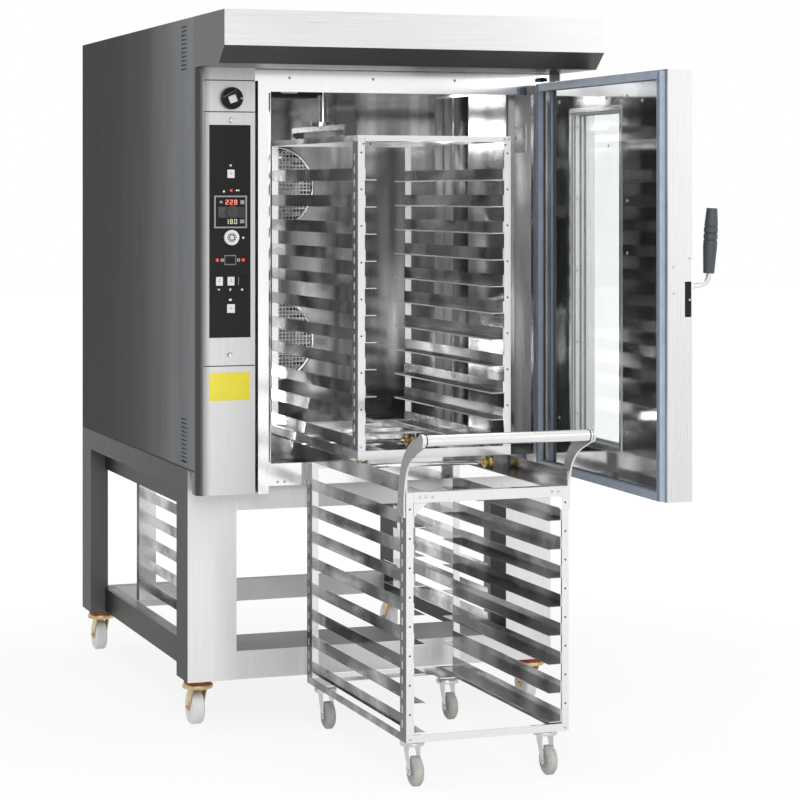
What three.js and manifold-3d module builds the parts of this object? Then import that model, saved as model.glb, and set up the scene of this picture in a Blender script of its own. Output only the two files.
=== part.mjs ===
// Rotating rack oven with its tray rack half drawn out onto a docked loading trolley.
// Millimetres, +Z up. X runs to the right along the front, Y runs back into the oven.
// While it is built, X = 0 is the cabinet's left face and Y = 0 the front of the stand's legs.
import * as THREE from "three";
import { mergeVertices } from "three/addons/utils/BufferGeometryUtils.js";
import Module from "manifold-3d";

const wasm = await Module();
wasm.setup();

// ---- cabinet and stand: driving dimensions ----
const ovenWidth = 1150;
const ovenDepth = 1408;
const ovenHeight = 2076;
const standHeight = 759;
const sheet = 3; // folded steel panels
const fit = 0.3; // clearance between pieces that seat on each other
const join = 0.5; // overlap of welded members inside one piece
const sideFront = -76; // front edge of the side panels
const columnCorner = 24;
const columnFront = sideFront - fit - columnCorner; // front face of the control column
const frameFront = -35; // sealing face of the door opening
const frameThick = 20;

const legWidth = 148;
const legDepth = 128;
const legFoot = 138;
const legWall = 3;
const upperRailHeight = 65;
const upperRailWidth = 40;
const rearLegWidth = 60;
const sideRailInset = 50; // inner side rails that carry the tray runners
const sideRailWidth = 40;
const lowerRailBottom = 141;
const lowerRailHeight = 78;
const innerRailHeight = 133;
const frontBeamHeight = 124;
const stretcherBottom = 139;
const stretcherHeight = 83;
const stretcherDepth = 260;
const rearStretcherBottom = 148;
const rearStretcherHeight = 74;

const runnerLevels = 6; // tray runners under the oven
const runnerTop = standHeight - 146;
const runnerPitch = 76.2;
const runnerWebX = 150;
const runnerWebHeight = 32;
const runnerLedge = 37;
const runnerThick = 2;
const runnerFront = 140;
const runnerRear = ovenDepth - 398;
const runnerPostWidth = 36;

// ---- opening, chamber and air path ----
const trimLeft = 184;
const trimWidth = 32;
const openingLeft = trimLeft + trimWidth + 26;
const openingRight = ovenWidth - 72;
const openingTop = ovenHeight - 212;
const headerBottom = openingTop + 29;
const sillTop = standHeight + 13;
const sillBottom = sillTop - 65;
const trimBottom = sillBottom - 14;
const chamberLeft = 100;
const chamberRight = ovenWidth - 70;
const chamberBack = ovenDepth - 118;
const chamberTop = openingTop + 21;
const baffleFront = chamberBack - 92;
const airPanelInset = 14; // side air panel ahead of the right wall
const airPanelLength = 1050;
const airOutletWidth = 50;
const airOutletMargin = 60;
const fanX = (chamberLeft + chamberRight) / 2 + 41;
const upperFanZ = chamberTop - 298;
const lowerFanZ = sillTop + 285;
const fanRadius = 125;
const fanDepth = 50;
const fanBlades = 12;
const fanShaftRadius = 8;
const guardRadius = 140;
const guardRows = 6;
const guardPitch = 21;
const guardSlot = 13;
const motorRadius = 60;
const motorLength = 88;

// ---- rotor under the ceiling ----
const rotorY = chamberBack - 770;
const rotorShaftRadius = 12;
const rotorHubRadius = 40;
const rotorBeamHalf = 270;
const rotorBeamWidth = 40;
const rotorBeamHeight = 16;
const rotorHookDrop = 22;
const rotorHookLip = 30;
const rackHeadroom = 14;
const gearboxSize = 150;
const gearboxHeight = 90;
const gearmotorRadius = 45;
const gearmotorLength = 190;

// ---- hood ----
const hoodFront = -395;
const hoodChamferY = -337;
const hoodFaceBottom = ovenHeight - 100;
const hoodUnderside = hoodFaceBottom - 47;

// ---- control column ----
const columnWidth = 175;
const columnBottom = standHeight - 65;
const columnDepth = 60;
const seamWidth = 3;
const topSeam = headerBottom - 1;
const upperSeam = topSeam - 91;
const plateLeft = 22;
const plateWidth = 151;
const plateTop = upperSeam - 3;
const plateHeight = 728;
const plateBottom = plateTop - plateHeight;
const plateThick = 2;
const lowerSeam = plateBottom - 3;
const glassLeft = 37;
const glassWidth = 123;
const glassTop = plateTop - 35;
const glassHeight = 614;
const glassBottom = glassTop - glassHeight;
const glassThick = 1.5;
const capProud = 3.5; // how far a push button stands out of the glass
const capFlange = 3;
const capTravel = 2.5;
const buttonMidX = 100.5; // buttons in the middle of the panel
const lightButtonZ = glassTop - 141;
const lightButtonWidth = 21;
const lightButtonHeight = 24;
const rowButtonZ = glassTop - 451;
const rowButtonPitch = 34.5;
const rowButtonWidth = 20;
const rowButtonHeight = 25;
const startButtonZ = glassTop - 530;
const startButtonWidth = 23;
const startButtonHeight = 25;
const ventKnobX = 103;
const ventKnobZ = upperSeam + 39;
const ventKnobRadius = 32;
const ventKnobProud = 20;
const controllerX = 102;
const controllerKnobZ = glassTop - 250;
const controllerKnobRadius = 18.5;
const dialX = 101;
const dialZ = glassTop - 325;
const dialRadius = 22;
const panelKnobProud = 11;
const knobShaftRadius = 4;
const rockerX = 99;
const rockerZ = glassTop - 390;
const rockerWidth = 28;
const rockerHeight = 21;
const rockerProud = 4;
const rockerTilt = 8;

// ---- door, drawn square to the front and turned on its pins by the rest angle ----
const doorOuter = ovenWidth;
const doorPinX = doorOuter - 19;
const doorPinY = -101;
const doorPinRadius = 6;
const doorRestTurn = -1.4; // degrees short of square
const doorPanelFace = doorOuter - 75;
const doorHingeEdge = -90;
const doorFreeEdge = -1008;
const doorBottom = sillTop - 34;
const doorTop = openingTop + 34;
const doorPanelThick = 3;
const gasketThick = 16;
const gasketWidth = 22;
const gasketHingeEdge = -100;
const gasketFreeEdge = -1000;
const gasketBottom = doorBottom + 2;
const gasketTop = doorTop - 3;
const windowNear = -345;
const windowFar = -695;
const windowBottom = doorBottom + 112;
const windowTop = doorTop - 99;
const windowLap = 20;
const windowFrame = 4;
const doorGlassThick = 6;
const latchSlotBottom = doorBottom + 496;
const latchSlotHeight = 95;
const latchSlotWidth = 19;
const latchSlotInset = 3;
const bracketThick = 6;
const bracketHalf = 12;
const bracketFront = doorPinY - 12;
const handleY = -994;
const handleZ = doorBottom + 579;
const handleRodRadius = 7;
const handleSpindleRadius = 8;
const handleReach = 55; // door skin to the grip's lower end
const gripLean = 3.2; // degrees, top away from the door
const gripBottom = handleZ + 33;
const gripLength = 176;
const gripRadius = 19;

// ---- tray rack ----
const trolleyLeft = 353;
const trolleyWidth = 464;
const railTop = standHeight + 22; // running surface of the rack's rollers
const railThick = 3;
const rackLeft = trolleyLeft + railThick;
const rackWidth = trolleyWidth - 2 * railThick;
const rackFront = -493;
const rackLength = 870;
const rackBottom = railTop + 44;
const rackTop = openingTop - 137;
const postFlangeX = 20;
const postFlangeY = 48;
const postThick = 2;
const rackTopBar = 16;
const rackBaseBar = 25;
const rackLevels = 11;
const rackTopLevel = rackTop - 123;
const rackPitch = (rackTopLevel - rackBottom - rackBaseBar) / (rackLevels - 1);
const trayWeb = 32;
const trayLedge = 34;
const trayThick = 2;
const rollerInset = 40;
const rollerRadius = 17;
const rollerGroove = 12.5;
const rollerWidth = 24;
const axleRodRadius = 5;
const axleNutRadius = 9;
const rollerFrontY = 73; // rack front to the front rollers
const rollerRearY = 723; // rack front to the rear rollers
const lugThick = 3;
const lugHalf = 12;

// ---- loading trolley ----
const trolleyFront = -893;
const trolleyLength = 855;
const trolleyFoot = 124;
const railFlange = 58;
const railWeb = 40;
const railEnd = chamberBack - 340;
const trolleyBar = 28;
const trolleyBase = 20;
const trolleyLevels = 8;
const trolleyTopLevel = railTop - 92;
const trolleyPitch = 77;
const pushTubeY = -1030;
const pushTubeZ = 930;
const pushTubeRadius = 15;
const pushCapRadius = 18;
const pushCapThick = 5;
const armThick = 5;
const armWidth = 50;
const armBottom = railTop - 66;
const armBend = railTop + 4;

// ---- castors ----
const ovenCastor = {
  wheelRadius: 50,
  wheelWidth: 36,
  edge: 4,
  height: legFoot,
  trail: 30,
  crown: 36,
  plate: 4,
  pin: 8,
};
const trolleyCastor = {
  wheelRadius: 40,
  wheelWidth: 26,
  edge: 6,
  height: trolleyFoot,
  trail: -24,
  crown: 27,
  plate: 3,
  pin: 7,
};
const ovenCastorX = 46;
const ovenCastorFrontY = 59;
const ovenCastorRearInset = 86;
const trolleyCastorInset = 41;
const trolleyCastorFrontInset = 67;
const trolleyCastorRearInset = 50;
const wheelSides = 24;
const crownThick = 6;
const pinHead = 5;
const cheekThick = 3;
const wheelPlay = 1.5;
const castorAxleRadius = 5;

// ---- materials ----
const metal = (color, roughness) =>
  new THREE.MeshStandardMaterial({ color, roughness, metalness: 1 });
const plain = (color, roughness) =>
  new THREE.MeshStandardMaterial({ color, roughness, metalness: 0 });
const brushedSteel = metal(0xc9ccce, 0.35);
const sideSteel = metal(0x6c7175, 0.38);
const brightSteel = metal(0xd4d6d7, 0.15);
const linerSteel = metal(0xa8abaa, 0.22);
const zinc = metal(0xb7a25c, 0.4);
const galvanised = metal(0xb9bcc0, 0.4);
const brass = metal(0xc2a76b, 0.3);
const armGrey = metal(0x8f9496, 0.45);
const castIron = metal(0x4b4f53, 0.6);
const nylonWhite = plain(0xeef0f4, 0.45);
const tyreGrey = plain(0x8b8a80, 0.75);
const gripBlack = plain(0x3d444b, 0.55);
const sealBlue = plain(0x8f9fb4, 0.6);
const panelBlack = plain(0x16181b, 0.12);
const capWhite = plain(0xe9e9e4, 0.4);
const capBlack = plain(0x17181a, 0.4);
const clearGlass = new THREE.MeshStandardMaterial({
  color: 0xdfe8e8,
  roughness: 0.03,
  transparent: true,
  opacity: 0.3,
});

// ---- solid helpers ----
function solid(geometry) {
  const bare = geometry.clone();
  bare.deleteAttribute("normal");
  bare.deleteAttribute("uv");
  const merged = mergeVertices(bare, 1e-4);
  return new wasm.Manifold(
    new wasm.Mesh({
      numProp: 3,
      vertProperties: merged.attributes.position.array,
      triVerts: new Uint32Array(merged.index.array),
    }),
  );
}

function box(x0, x1, y0, y1, z0, z1) {
  const geometry = new THREE.BoxGeometry(x1 - x0, y1 - y0, z1 - z0);
  geometry.translate((x0 + x1) / 2, (y0 + y1) / 2, (z0 + z1) / 2);
  return solid(geometry);
}

// An outline of [a, b] points pushed along one axis: [y, z] along x, [x, z] along y, [x, y] along z.
function prism(points, axis, from, to) {
  const shape = new THREE.Shape(points.map(([a, b]) => new THREE.Vector2(a, b)));
  const geometry = new THREE.ExtrudeGeometry(shape, {
    depth: to - from,
    bevelEnabled: false,
  });
  if (axis === "x") {
    geometry.applyMatrix4(new THREE.Matrix4().set(0, 0, 1, from, 1, 0, 0, 0, 0, 1, 0, 0, 0, 0, 0, 1));
  }
  if (axis === "y") {
    geometry.applyMatrix4(new THREE.Matrix4().set(1, 0, 0, 0, 0, 0, -1, to, 0, 1, 0, 0, 0, 0, 0, 1));
  }
  if (axis === "z") {
    geometry.translate(0, 0, from);
  }
  return solid(geometry);
}

// A closed profile of [radius, along] points turned round an axis through a centre.
function turned(profile, axis, [x, y, z], sides = 24) {
  let area = 0;
  profile.forEach(([r, a], i) => {
    const [rNext, aNext] = profile[(i + 1) % profile.length];
    area += r * aNext - rNext * a;
  });
  const ordered = area > 0 ? [...profile] : [...profile].reverse();
  const outline = [...ordered, ordered[0]].map(([r, a]) => new THREE.Vector2(r, a));
  const geometry = new THREE.LatheGeometry(outline, sides, Math.PI / sides);
  if (axis === "x") {
    geometry.rotateZ(-Math.PI / 2);
  }
  if (axis === "z") {
    geometry.rotateX(Math.PI / 2);
  }
  geometry.translate(x, y, z);
  return solid(geometry);
}

function rod(radius, axis, from, to, centre, sides = 20) {
  return turned([[0, from], [radius, from], [radius, to], [0, to]], axis, centre, sides);
}

function ring(inner, outer, axis, from, to, centre, sides = 24) {
  const profile = [[inner, from], [outer, from], [outer, to], [inner, to]];
  return turned(profile, axis, centre, sides);
}

const weld = (...bodies) => bodies.flat().reduce((all, body) => all.add(body));
const cut = (body, ...tools) => tools.flat().reduce((left, tool) => left.subtract(tool), body);

function piece(name, body, material, parent) {
  const made = body.getMesh();
  const corners = new Float32Array(made.numVert * 3);
  for (let i = 0; i < made.numVert; i++) {
    const start = i * made.numProp;
    corners.set(made.vertProperties.subarray(start, start + 3), i * 3);
  }
  const geometry = new THREE.BufferGeometry();
  geometry.setAttribute("position", new THREE.BufferAttribute(corners, 3));
  geometry.setIndex(new THREE.BufferAttribute(made.triVerts, 1));
  geometry.computeVertexNormals();
  const mesh = new THREE.Mesh(geometry, material);
  mesh.name = name;
  parent.add(mesh);
  return mesh;
}

// The same piece on the right-hand side of a centre line.
const mirrored = (body, centreX) => body.mirror([1, 0, 0]).translate([2 * centreX, 0, 0]);

const oven = new THREE.Group();
const standGroup = new THREE.Group();
const cabinetGroup = new THREE.Group();
const controlGroup = new THREE.Group();
const chamberGroup = new THREE.Group();
const doorGroup = new THREE.Group();
const doorLeaf = new THREE.Group();
const rackGroup = new THREE.Group();
const trolleyGroup = new THREE.Group();
oven.add(standGroup, cabinetGroup, controlGroup, chamberGroup);
oven.add(doorGroup, rackGroup, trolleyGroup);
doorGroup.add(doorLeaf);
doorGroup.position.set(doorPinX, doorPinY, 0);
doorGroup.rotation.z = THREE.MathUtils.degToRad(doorRestTurn);
doorLeaf.position.set(-doorPinX, -doorPinY, 0);

const ovenMid = ovenWidth / 2;
const underside = standHeight + fit;
const innerTop = ovenHeight - sheet;

// ---- castors: a plate with its king pin, a swivelling fork and a wheel on the fork's axle ----
function castorLevels(kind) {
  const plateBottomZ = kind.height - kind.plate;
  const crownTop = plateBottomZ - fit;
  const crownBottom = crownTop - 2 * crownThick;
  const axleZ = kind.wheelRadius * Math.cos(Math.PI / wheelSides);
  return { plateBottomZ, crownTop, crownBottom, axleZ };
}

function castorPlate(kind, x, y) {
  const { plateBottomZ, crownBottom } = castorLevels(kind);
  const half = kind.crown + 4;
  const reach = kind.crown * 0.9;
  return weld(
    box(x - half, x + half, y - reach, y + reach, plateBottomZ, kind.height + join),
    rod(kind.pin, "z", crownBottom - pinHead, kind.height, [x, y, 0], 16),
    rod(kind.pin + 5, "z", crownBottom - fit - pinHead, crownBottom - fit, [x, y, 0], 16),
  );
}

function castor(name, kind, x, y, forkMaterial, wheelMaterial, parent) {
  const { crownTop, crownBottom, axleZ } = castorLevels(kind);
  const swivel = new THREE.Group();
  swivel.position.set(x, y, 0);
  parent.add(swivel);
  const cheekInner = kind.wheelWidth / 2 + wheelPlay;
  const cheekOuter = cheekInner + cheekThick;
  const halfTop = kind.crown * 0.72;
  const boss = castorAxleRadius + 6;
  const cheekOutline = [
    [-halfTop, crownBottom + join],
    [-halfTop, crownBottom - 12],
    [kind.trail - boss, axleZ - boss * 0.4],
    [kind.trail - boss * 0.5, axleZ - boss],
    [kind.trail + boss * 0.5, axleZ - boss],
    [kind.trail + boss, axleZ - boss * 0.4],
    [halfTop, crownBottom - 12],
    [halfTop, crownBottom + join],
  ];
  const fork = weld(
    ring(kind.pin + fit, kind.crown, "z", crownBottom, crownTop, [0, 0, 0]),
    prism(cheekOutline, "x", -cheekOuter, -cheekInner),
    prism(cheekOutline, "x", cheekInner, cheekOuter),
    rod(castorAxleRadius, "x", -cheekOuter - 5, cheekOuter + 5, [0, kind.trail, axleZ], 12),
  );
  piece(name + "_fork", fork, forkMaterial, swivel);
  const half = kind.wheelWidth / 2;
  const tread = kind.wheelRadius;
  const profile = [
    [castorAxleRadius + fit, -half],
    [tread - kind.edge, -half],
    [tread, -half + kind.edge],
    [tread, half - kind.edge],
    [tread - kind.edge, half],
    [castorAxleRadius + fit, half],
  ];
  const wheel = piece(name + "_wheel", turned(profile, "x", [0, 0, 0], wheelSides), wheelMaterial, swivel);
  wheel.position.set(0, kind.trail, axleZ);
}

const ovenCastorRearY = ovenDepth - ovenCastorRearInset;
const ovenCastorPlaces = [
  ["castor_front_left", ovenCastorX, ovenCastorFrontY],
  ["castor_front_right", ovenWidth - ovenCastorX, ovenCastorFrontY],
  ["castor_rear_left", ovenCastorX, ovenCastorRearY],
  ["castor_rear_right", ovenWidth - ovenCastorX, ovenCastorRearY],
];
const trolleyRight = trolleyLeft + trolleyWidth;
const trolleyRear = trolleyFront + trolleyLength;
const trolleyCastorPlaces = [
  ["trolley_castor_front_left", trolleyLeft + trolleyCastorInset, trolleyFront + trolleyCastorFrontInset],
  ["trolley_castor_front_right", trolleyRight - trolleyCastorInset, trolleyFront + trolleyCastorFrontInset],
  ["trolley_castor_rear_left", trolleyLeft + trolleyCastorInset, trolleyRear - trolleyCastorRearInset],
  ["trolley_castor_rear_right", trolleyRight - trolleyCastorInset, trolleyRear - trolleyCastorRearInset],
];

// ---- stand: four box legs, rails and stretchers welded into one frame ----
function standSide() {
  const rearLeg = ovenDepth - legDepth;
  const legs = [[0, legWidth], [rearLeg, rearLegWidth]].map(([y, width]) =>
    cut(
      box(0, width, y, y + legDepth, legFoot, standHeight),
      box(legWall, width - legWall, y + legWall, y + legDepth - legWall, legFoot + legWall, standHeight + 1),
    ),
  );
  const plates = ovenCastorPlaces
    .filter(([, x]) => x < ovenMid)
    .map(([, x, y]) => castorPlate(ovenCastor, x, y));
  const between = [legDepth - join, rearLeg + join];
  const sideRail = sideRailInset + sideRailWidth;
  return weld(
    legs,
    plates,
    box(0, upperRailWidth, ...between, standHeight - upperRailHeight, standHeight),
    box(sideRailInset, sideRail, ...between, standHeight - innerRailHeight, standHeight),
    box(sideRailInset, sideRail, ...between, lowerRailBottom, lowerRailBottom + lowerRailHeight),
  );
}

function standFrame() {
  const side = standSide();
  const across = [legWidth - join, ovenWidth - legWidth + join];
  const rearAcross = [rearLegWidth - join, ovenWidth - rearLegWidth + join];
  const frontBeamBottom = standHeight - frontBeamHeight;
  const stretcherTop = stretcherBottom + stretcherHeight;
  const hatOutline = [
    [0, stretcherBottom],
    [sheet, stretcherBottom],
    [sheet, stretcherTop - sheet],
    [stretcherDepth - sheet, stretcherTop - sheet],
    [stretcherDepth - sheet, stretcherBottom],
    [stretcherDepth, stretcherBottom],
    [stretcherDepth, stretcherTop],
    [0, stretcherTop],
  ];
  const rearTop = rearStretcherBottom + rearStretcherHeight;
  const rearFace = ovenDepth - legDepth;
  return weld(
    side,
    mirrored(side, ovenMid),
    box(...across, 0, upperRailWidth, frontBeamBottom, standHeight),
    prism(hatOutline, "x", ...across),
    box(...rearAcross, rearFace, rearFace + upperRailWidth, rearStretcherBottom, rearTop),
    box(...rearAcross, ovenDepth - upperRailWidth, ovenDepth, standHeight - upperRailHeight, standHeight),
  );
}

// An angle runner: an upright web and a ledge that carries the tray's rim, both along Y.
function angleRunner(webX, ledgeZ, web, ledge, thick, from, to) {
  const outline = [
    [webX, ledgeZ - thick],
    [webX + ledge, ledgeZ - thick],
    [webX + ledge, ledgeZ],
    [webX + thick, ledgeZ],
    [webX + thick, ledgeZ + web],
    [webX, ledgeZ + web],
  ];
  return prism(outline, "y", from, to);
}

function standLadder() {
  const railFace = sideRailInset + sideRailWidth + fit;
  const postBottom = stretcherBottom + stretcherHeight + fit;
  const postTop = standHeight - upperRailHeight - fit;
  const posts = [runnerFront + runnerPostWidth, runnerRear - runnerPostWidth].map((y) =>
    weld(
      box(railFace, runnerWebX + join, y - runnerThick, y + runnerThick, postBottom, postTop),
      box(railFace, railFace + runnerThick, y - runnerPostWidth / 2, y + runnerPostWidth / 2, postBottom, postTop),
    ),
  );
  const runners = [];
  for (let level = 0; level < runnerLevels; level++) {
    const z = runnerTop - level * runnerPitch;
    runners.push(
      angleRunner(runnerWebX, z, runnerWebHeight, runnerLedge, runnerThick, runnerFront, runnerRear),
    );
  }
  return weld(posts, runners);
}

piece("stand_frame", standFrame(), brushedSteel, standGroup);
piece("stand_runners_left", standLadder(), brightSteel, standGroup);
piece("stand_runners_right", mirrored(standLadder(), ovenMid), brightSteel, standGroup);
ovenCastorPlaces.forEach(([name, x, y]) => castor(name, ovenCastor, x, y, zinc, nylonWhite, standGroup));

// ---- cabinet panels ----
const louvreRows = 11;
const louvrePitch = 12.4;
const louvreSlot = 5;
const louvreFrontY = 10;
const louvreLength = 60;
const louvreBottoms = [ovenHeight - 150, standHeight + 19];

function sideLeft() {
  const slots = louvreBottoms.flatMap((bottom) =>
    Array.from({ length: louvreRows }, (_, row) => {
      const z = bottom + row * louvrePitch;
      return box(-1, sheet + 1, louvreFrontY, louvreFrontY + louvreLength, z, z + louvreSlot);
    }),
  );
  return cut(box(0, sheet, sideFront, ovenDepth, underside, ovenHeight), slots);
}

function cabinetCover() {
  const left = sheet + fit;
  const right = ovenWidth - left;
  const baseFront = frameFront + frameThick + fit;
  return weld(
    box(left, right, baseFront, ovenDepth, underside, underside + sheet),
    box(left, right, ovenDepth - sheet, ovenDepth, underside, ovenHeight),
    box(left, right, sideFront, ovenDepth, innerTop, ovenHeight),
  );
}

function hoodShell() {
  const back = sideFront - fit;
  const outline = [
    [hoodFront, hoodFaceBottom],
    [hoodFront, ovenHeight],
    [back, ovenHeight],
    [back, hoodUnderside],
    [hoodChamferY, hoodUnderside],
  ];
  const hollow = [
    [hoodFront + sheet, hoodFaceBottom + sheet / 2],
    [hoodFront + sheet, innerTop],
    [back + 1, innerTop],
    [back + 1, hoodUnderside + sheet],
    [hoodChamferY + sheet / 2, hoodUnderside + sheet],
  ];
  return cut(prism(outline, "x", 0, ovenWidth), prism(hollow, "x", sheet, ovenWidth - sheet));
}

// The welded frame round the opening, with the door's hinge brackets and their pins.
function hingeBracket(plateZ, pinFrom, pinTo) {
  const left = doorPinX - bracketHalf;
  const right = doorPinX + bracketHalf;
  return weld(
    box(left, right, bracketFront, frameFront + join, plateZ, plateZ + bracketThick),
    rod(doorPinRadius, "z", pinFrom, pinTo, [doorPinX, doorPinY, 0], 16),
  );
}

function frontFrame() {
  const back = frameFront + frameThick;
  const right = ovenWidth - sheet - fit;
  const pinDepth = 15;
  const lowBracket = doorBottom - fit - bracketThick;
  const highBracket = doorTop + fit;
  const top = innerTop - fit;
  return weld(
    box(sheet + fit, right, frameFront, back, headerBottom, top),
    box(trimLeft, right, frameFront, back, openingTop, top),
    box(trimLeft, openingLeft, frameFront, back, sillBottom, top),
    box(openingRight, right, frameFront, back, sillBottom, top),
    box(trimLeft, right, frameFront, back, sillBottom, sillTop),
    box(trimLeft, trimLeft + trimWidth, columnFront, frameFront + join, trimBottom, headerBottom - fit),
    hingeBracket(lowBracket, lowBracket + join, doorBottom + pinDepth),
    hingeBracket(highBracket, doorTop - pinDepth, highBracket + join),
  );
}

piece("cabinet_side_left", sideLeft(), sideSteel, cabinetGroup);
piece("cabinet_side_right", mirrored(sideLeft(), ovenMid), sideSteel, cabinetGroup);
piece("cabinet_cover", cabinetCover(), sideSteel, cabinetGroup);
piece("hood", hoodShell(), brushedSteel, cabinetGroup);
piece("front_frame", frontFrame(), brushedSteel, cabinetGroup);

// ---- control column ----
const pushButtons = [
  {
    name: "button_light",
    x: buttonMidX,
    z: lightButtonZ,
    width: lightButtonWidth,
    height: lightButtonHeight,
    material: capWhite,
  },
  ...[-1, 0, 1].map((place) => ({
    name: ["button_left", "button_middle", "button_right"][place + 1],
    x: buttonMidX + place * rowButtonPitch,
    z: rowButtonZ,
    width: rowButtonWidth,
    height: rowButtonHeight,
    material: place > 0 ? capBlack : capWhite,
  })),
  {
    name: "button_start",
    x: buttonMidX,
    z: startButtonZ,
    width: startButtonWidth,
    height: startButtonHeight,
    material: capWhite,
  },
];
const knobs = [
  {
    name: "vent_knob",
    x: ventKnobX,
    z: ventKnobZ,
    radius: ventKnobRadius,
    proud: ventKnobProud,
    face: columnFront,
  },
  {
    name: "controller_knob",
    x: controllerX,
    z: controllerKnobZ,
    radius: controllerKnobRadius,
    proud: panelKnobProud,
    face: columnFront - plateThick - glassThick - 2 * fit,
  },
  {
    name: "steam_dial",
    x: dialX,
    z: dialZ,
    radius: dialRadius,
    proud: panelKnobProud,
    face: columnFront - plateThick - glassThick - 2 * fit,
  },
];
const plateFace = columnFront - fit - plateThick;
const glassFace = plateFace - fit - glassThick;
const behindSheet = columnFront + sheet + fit;

function controlHoles(from, to) {
  const square = pushButtons.map(({ x, z, width, height }) =>
    box(x - width / 2 - fit, x + width / 2 + fit, from, to, z - height / 2 - fit, z + height / 2 + fit),
  );
  const round = knobs.map(({ x, z }) =>
    rod(knobShaftRadius + fit, "y", from, to, [x, 0, z], 12),
  );
  const rockerHalf = [rockerWidth / 2 + fit, rockerHeight / 2 + 3 * fit];
  const rockerHole = box(
    rockerX - rockerHalf[0],
    rockerX + rockerHalf[0],
    from,
    to,
    rockerZ - rockerHalf[1],
    rockerZ + rockerHalf[1],
  );
  return [...square, ...round, rockerHole];
}

function columnOutline(inset, back) {
  const left = sheet + fit + inset;
  const radius = columnCorner - inset;
  const centreY = columnFront + columnCorner;
  const start = Math.asin(inset / radius);
  const arc = Array.from({ length: 7 }, (_, i) => {
    const angle = Math.PI + start + (i / 6) * (Math.PI / 2 - start);
    return [columnCorner + radius * Math.cos(angle), centreY + radius * Math.sin(angle)];
  });
  const right = columnWidth - inset;
  return [...arc, [right, columnFront + inset], [right, back], [left, back], [left, centreY - inset]];
}

function columnHousing() {
  const top = hoodUnderside - fit;
  const back = columnFront + columnDepth;
  const outer = prism(columnOutline(0, back), "z", columnBottom, top);
  const hollow = prism(columnOutline(sheet, back + 1), "z", columnBottom + sheet, top - sheet);
  const seams = [lowerSeam, upperSeam, topSeam].map((z) =>
    box(-1, columnWidth + 1, columnFront - 1, columnFront + 1, z - seamWidth / 2, z + seamWidth / 2),
  );
  return cut(outer, hollow, seams, controlHoles(columnFront - 1, columnFront + sheet + 1));
}

function knobBody(radius, proud) {
  const grip = radius * 0.8;
  return turned(
    [
      [0, -proud],
      [grip - 2, -proud],
      [grip, -proud + 2],
      [radius, -fit - 4],
      [radius, -fit],
      [knobShaftRadius, -fit],
      [knobShaftRadius, 0],
      [0, capFlange],
    ],
    "y",
    [0, 0, 0],
    24,
  );
}

piece("column_housing", columnHousing(), brushedSteel, controlGroup);
piece(
  "control_plate",
  cut(
    box(plateLeft, plateLeft + plateWidth, plateFace, plateFace + plateThick, plateBottom, plateTop),
    controlHoles(plateFace - 1, plateFace + plateThick + 1),
  ),
  brushedSteel,
  controlGroup,
);
piece(
  "control_glass",
  cut(
    box(glassLeft, glassLeft + glassWidth, glassFace, glassFace + glassThick, glassBottom, glassTop),
    controlHoles(glassFace - 1, glassFace + glassThick + 1),
  ),
  panelBlack,
  controlGroup,
);

pushButtons.forEach(({ name, x, z, width, height, material }) => {
  const capDepth = behindSheet - glassFace + capProud;
  const rim = capFlange;
  const cap = weld(
    box(-width / 2, width / 2, -capDepth, join, -height / 2, height / 2),
    box(-width / 2 - rim, width / 2 + rim, 0, capFlange, -height / 2 - rim, height / 2 + rim),
  );
  piece(name, cap, material, controlGroup).position.set(x, behindSheet, z);
});

knobs.forEach(({ name, x, z, radius, proud, face }) => {
  const shaftEnd = behindSheet + capFlange - face;
  const knob = weld(
    knobBody(radius, proud),
    rod(knobShaftRadius, "y", -join - 1, shaftEnd, [0, 0, 0], 12),
    rod(knobShaftRadius + 4, "y", behindSheet - face, shaftEnd, [0, 0, 0], 12),
  );
  piece(name, knob, capBlack, controlGroup).position.set(x, face, z);
});

// The rocker tilts on a pin line just behind the glass.
const rockerPivotY = columnFront + sheet / 2;
const rockerOutline = [
  [-rockerHeight / 2, glassFace - rockerPivotY - rockerProud + 1],
  [0, glassFace - rockerPivotY - rockerProud + 2],
  [rockerHeight / 2, glassFace - rockerPivotY - rockerProud + 1],
  [rockerHeight / 2 - 1, 4],
  [-rockerHeight / 2 + 1, 4],
].map(([z, y]) => [y, z]);
piece(
  "rocker_switch",
  prism(rockerOutline, "x", -rockerWidth / 2, rockerWidth / 2),
  capBlack,
  controlGroup,
).position.set(rockerX, rockerPivotY, rockerZ);

// ---- baking chamber ----
const floorTop = underside + sheet + fit + sheet;
const railLeft = trolleyLeft;
const rackMid = rackLeft + rackWidth / 2;
const rotorX = rackMid;

// The running rail of one side: a flat track with an upright guide along its outer edge.
function railSection(bottom) {
  return [
    [railLeft, bottom],
    [railLeft + railFlange, bottom],
    [railLeft + railFlange, railTop],
    [railLeft + railThick, railTop],
    [railLeft + railThick, railTop + railWeb],
    [railLeft, railTop + railWeb],
  ];
}

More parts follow.
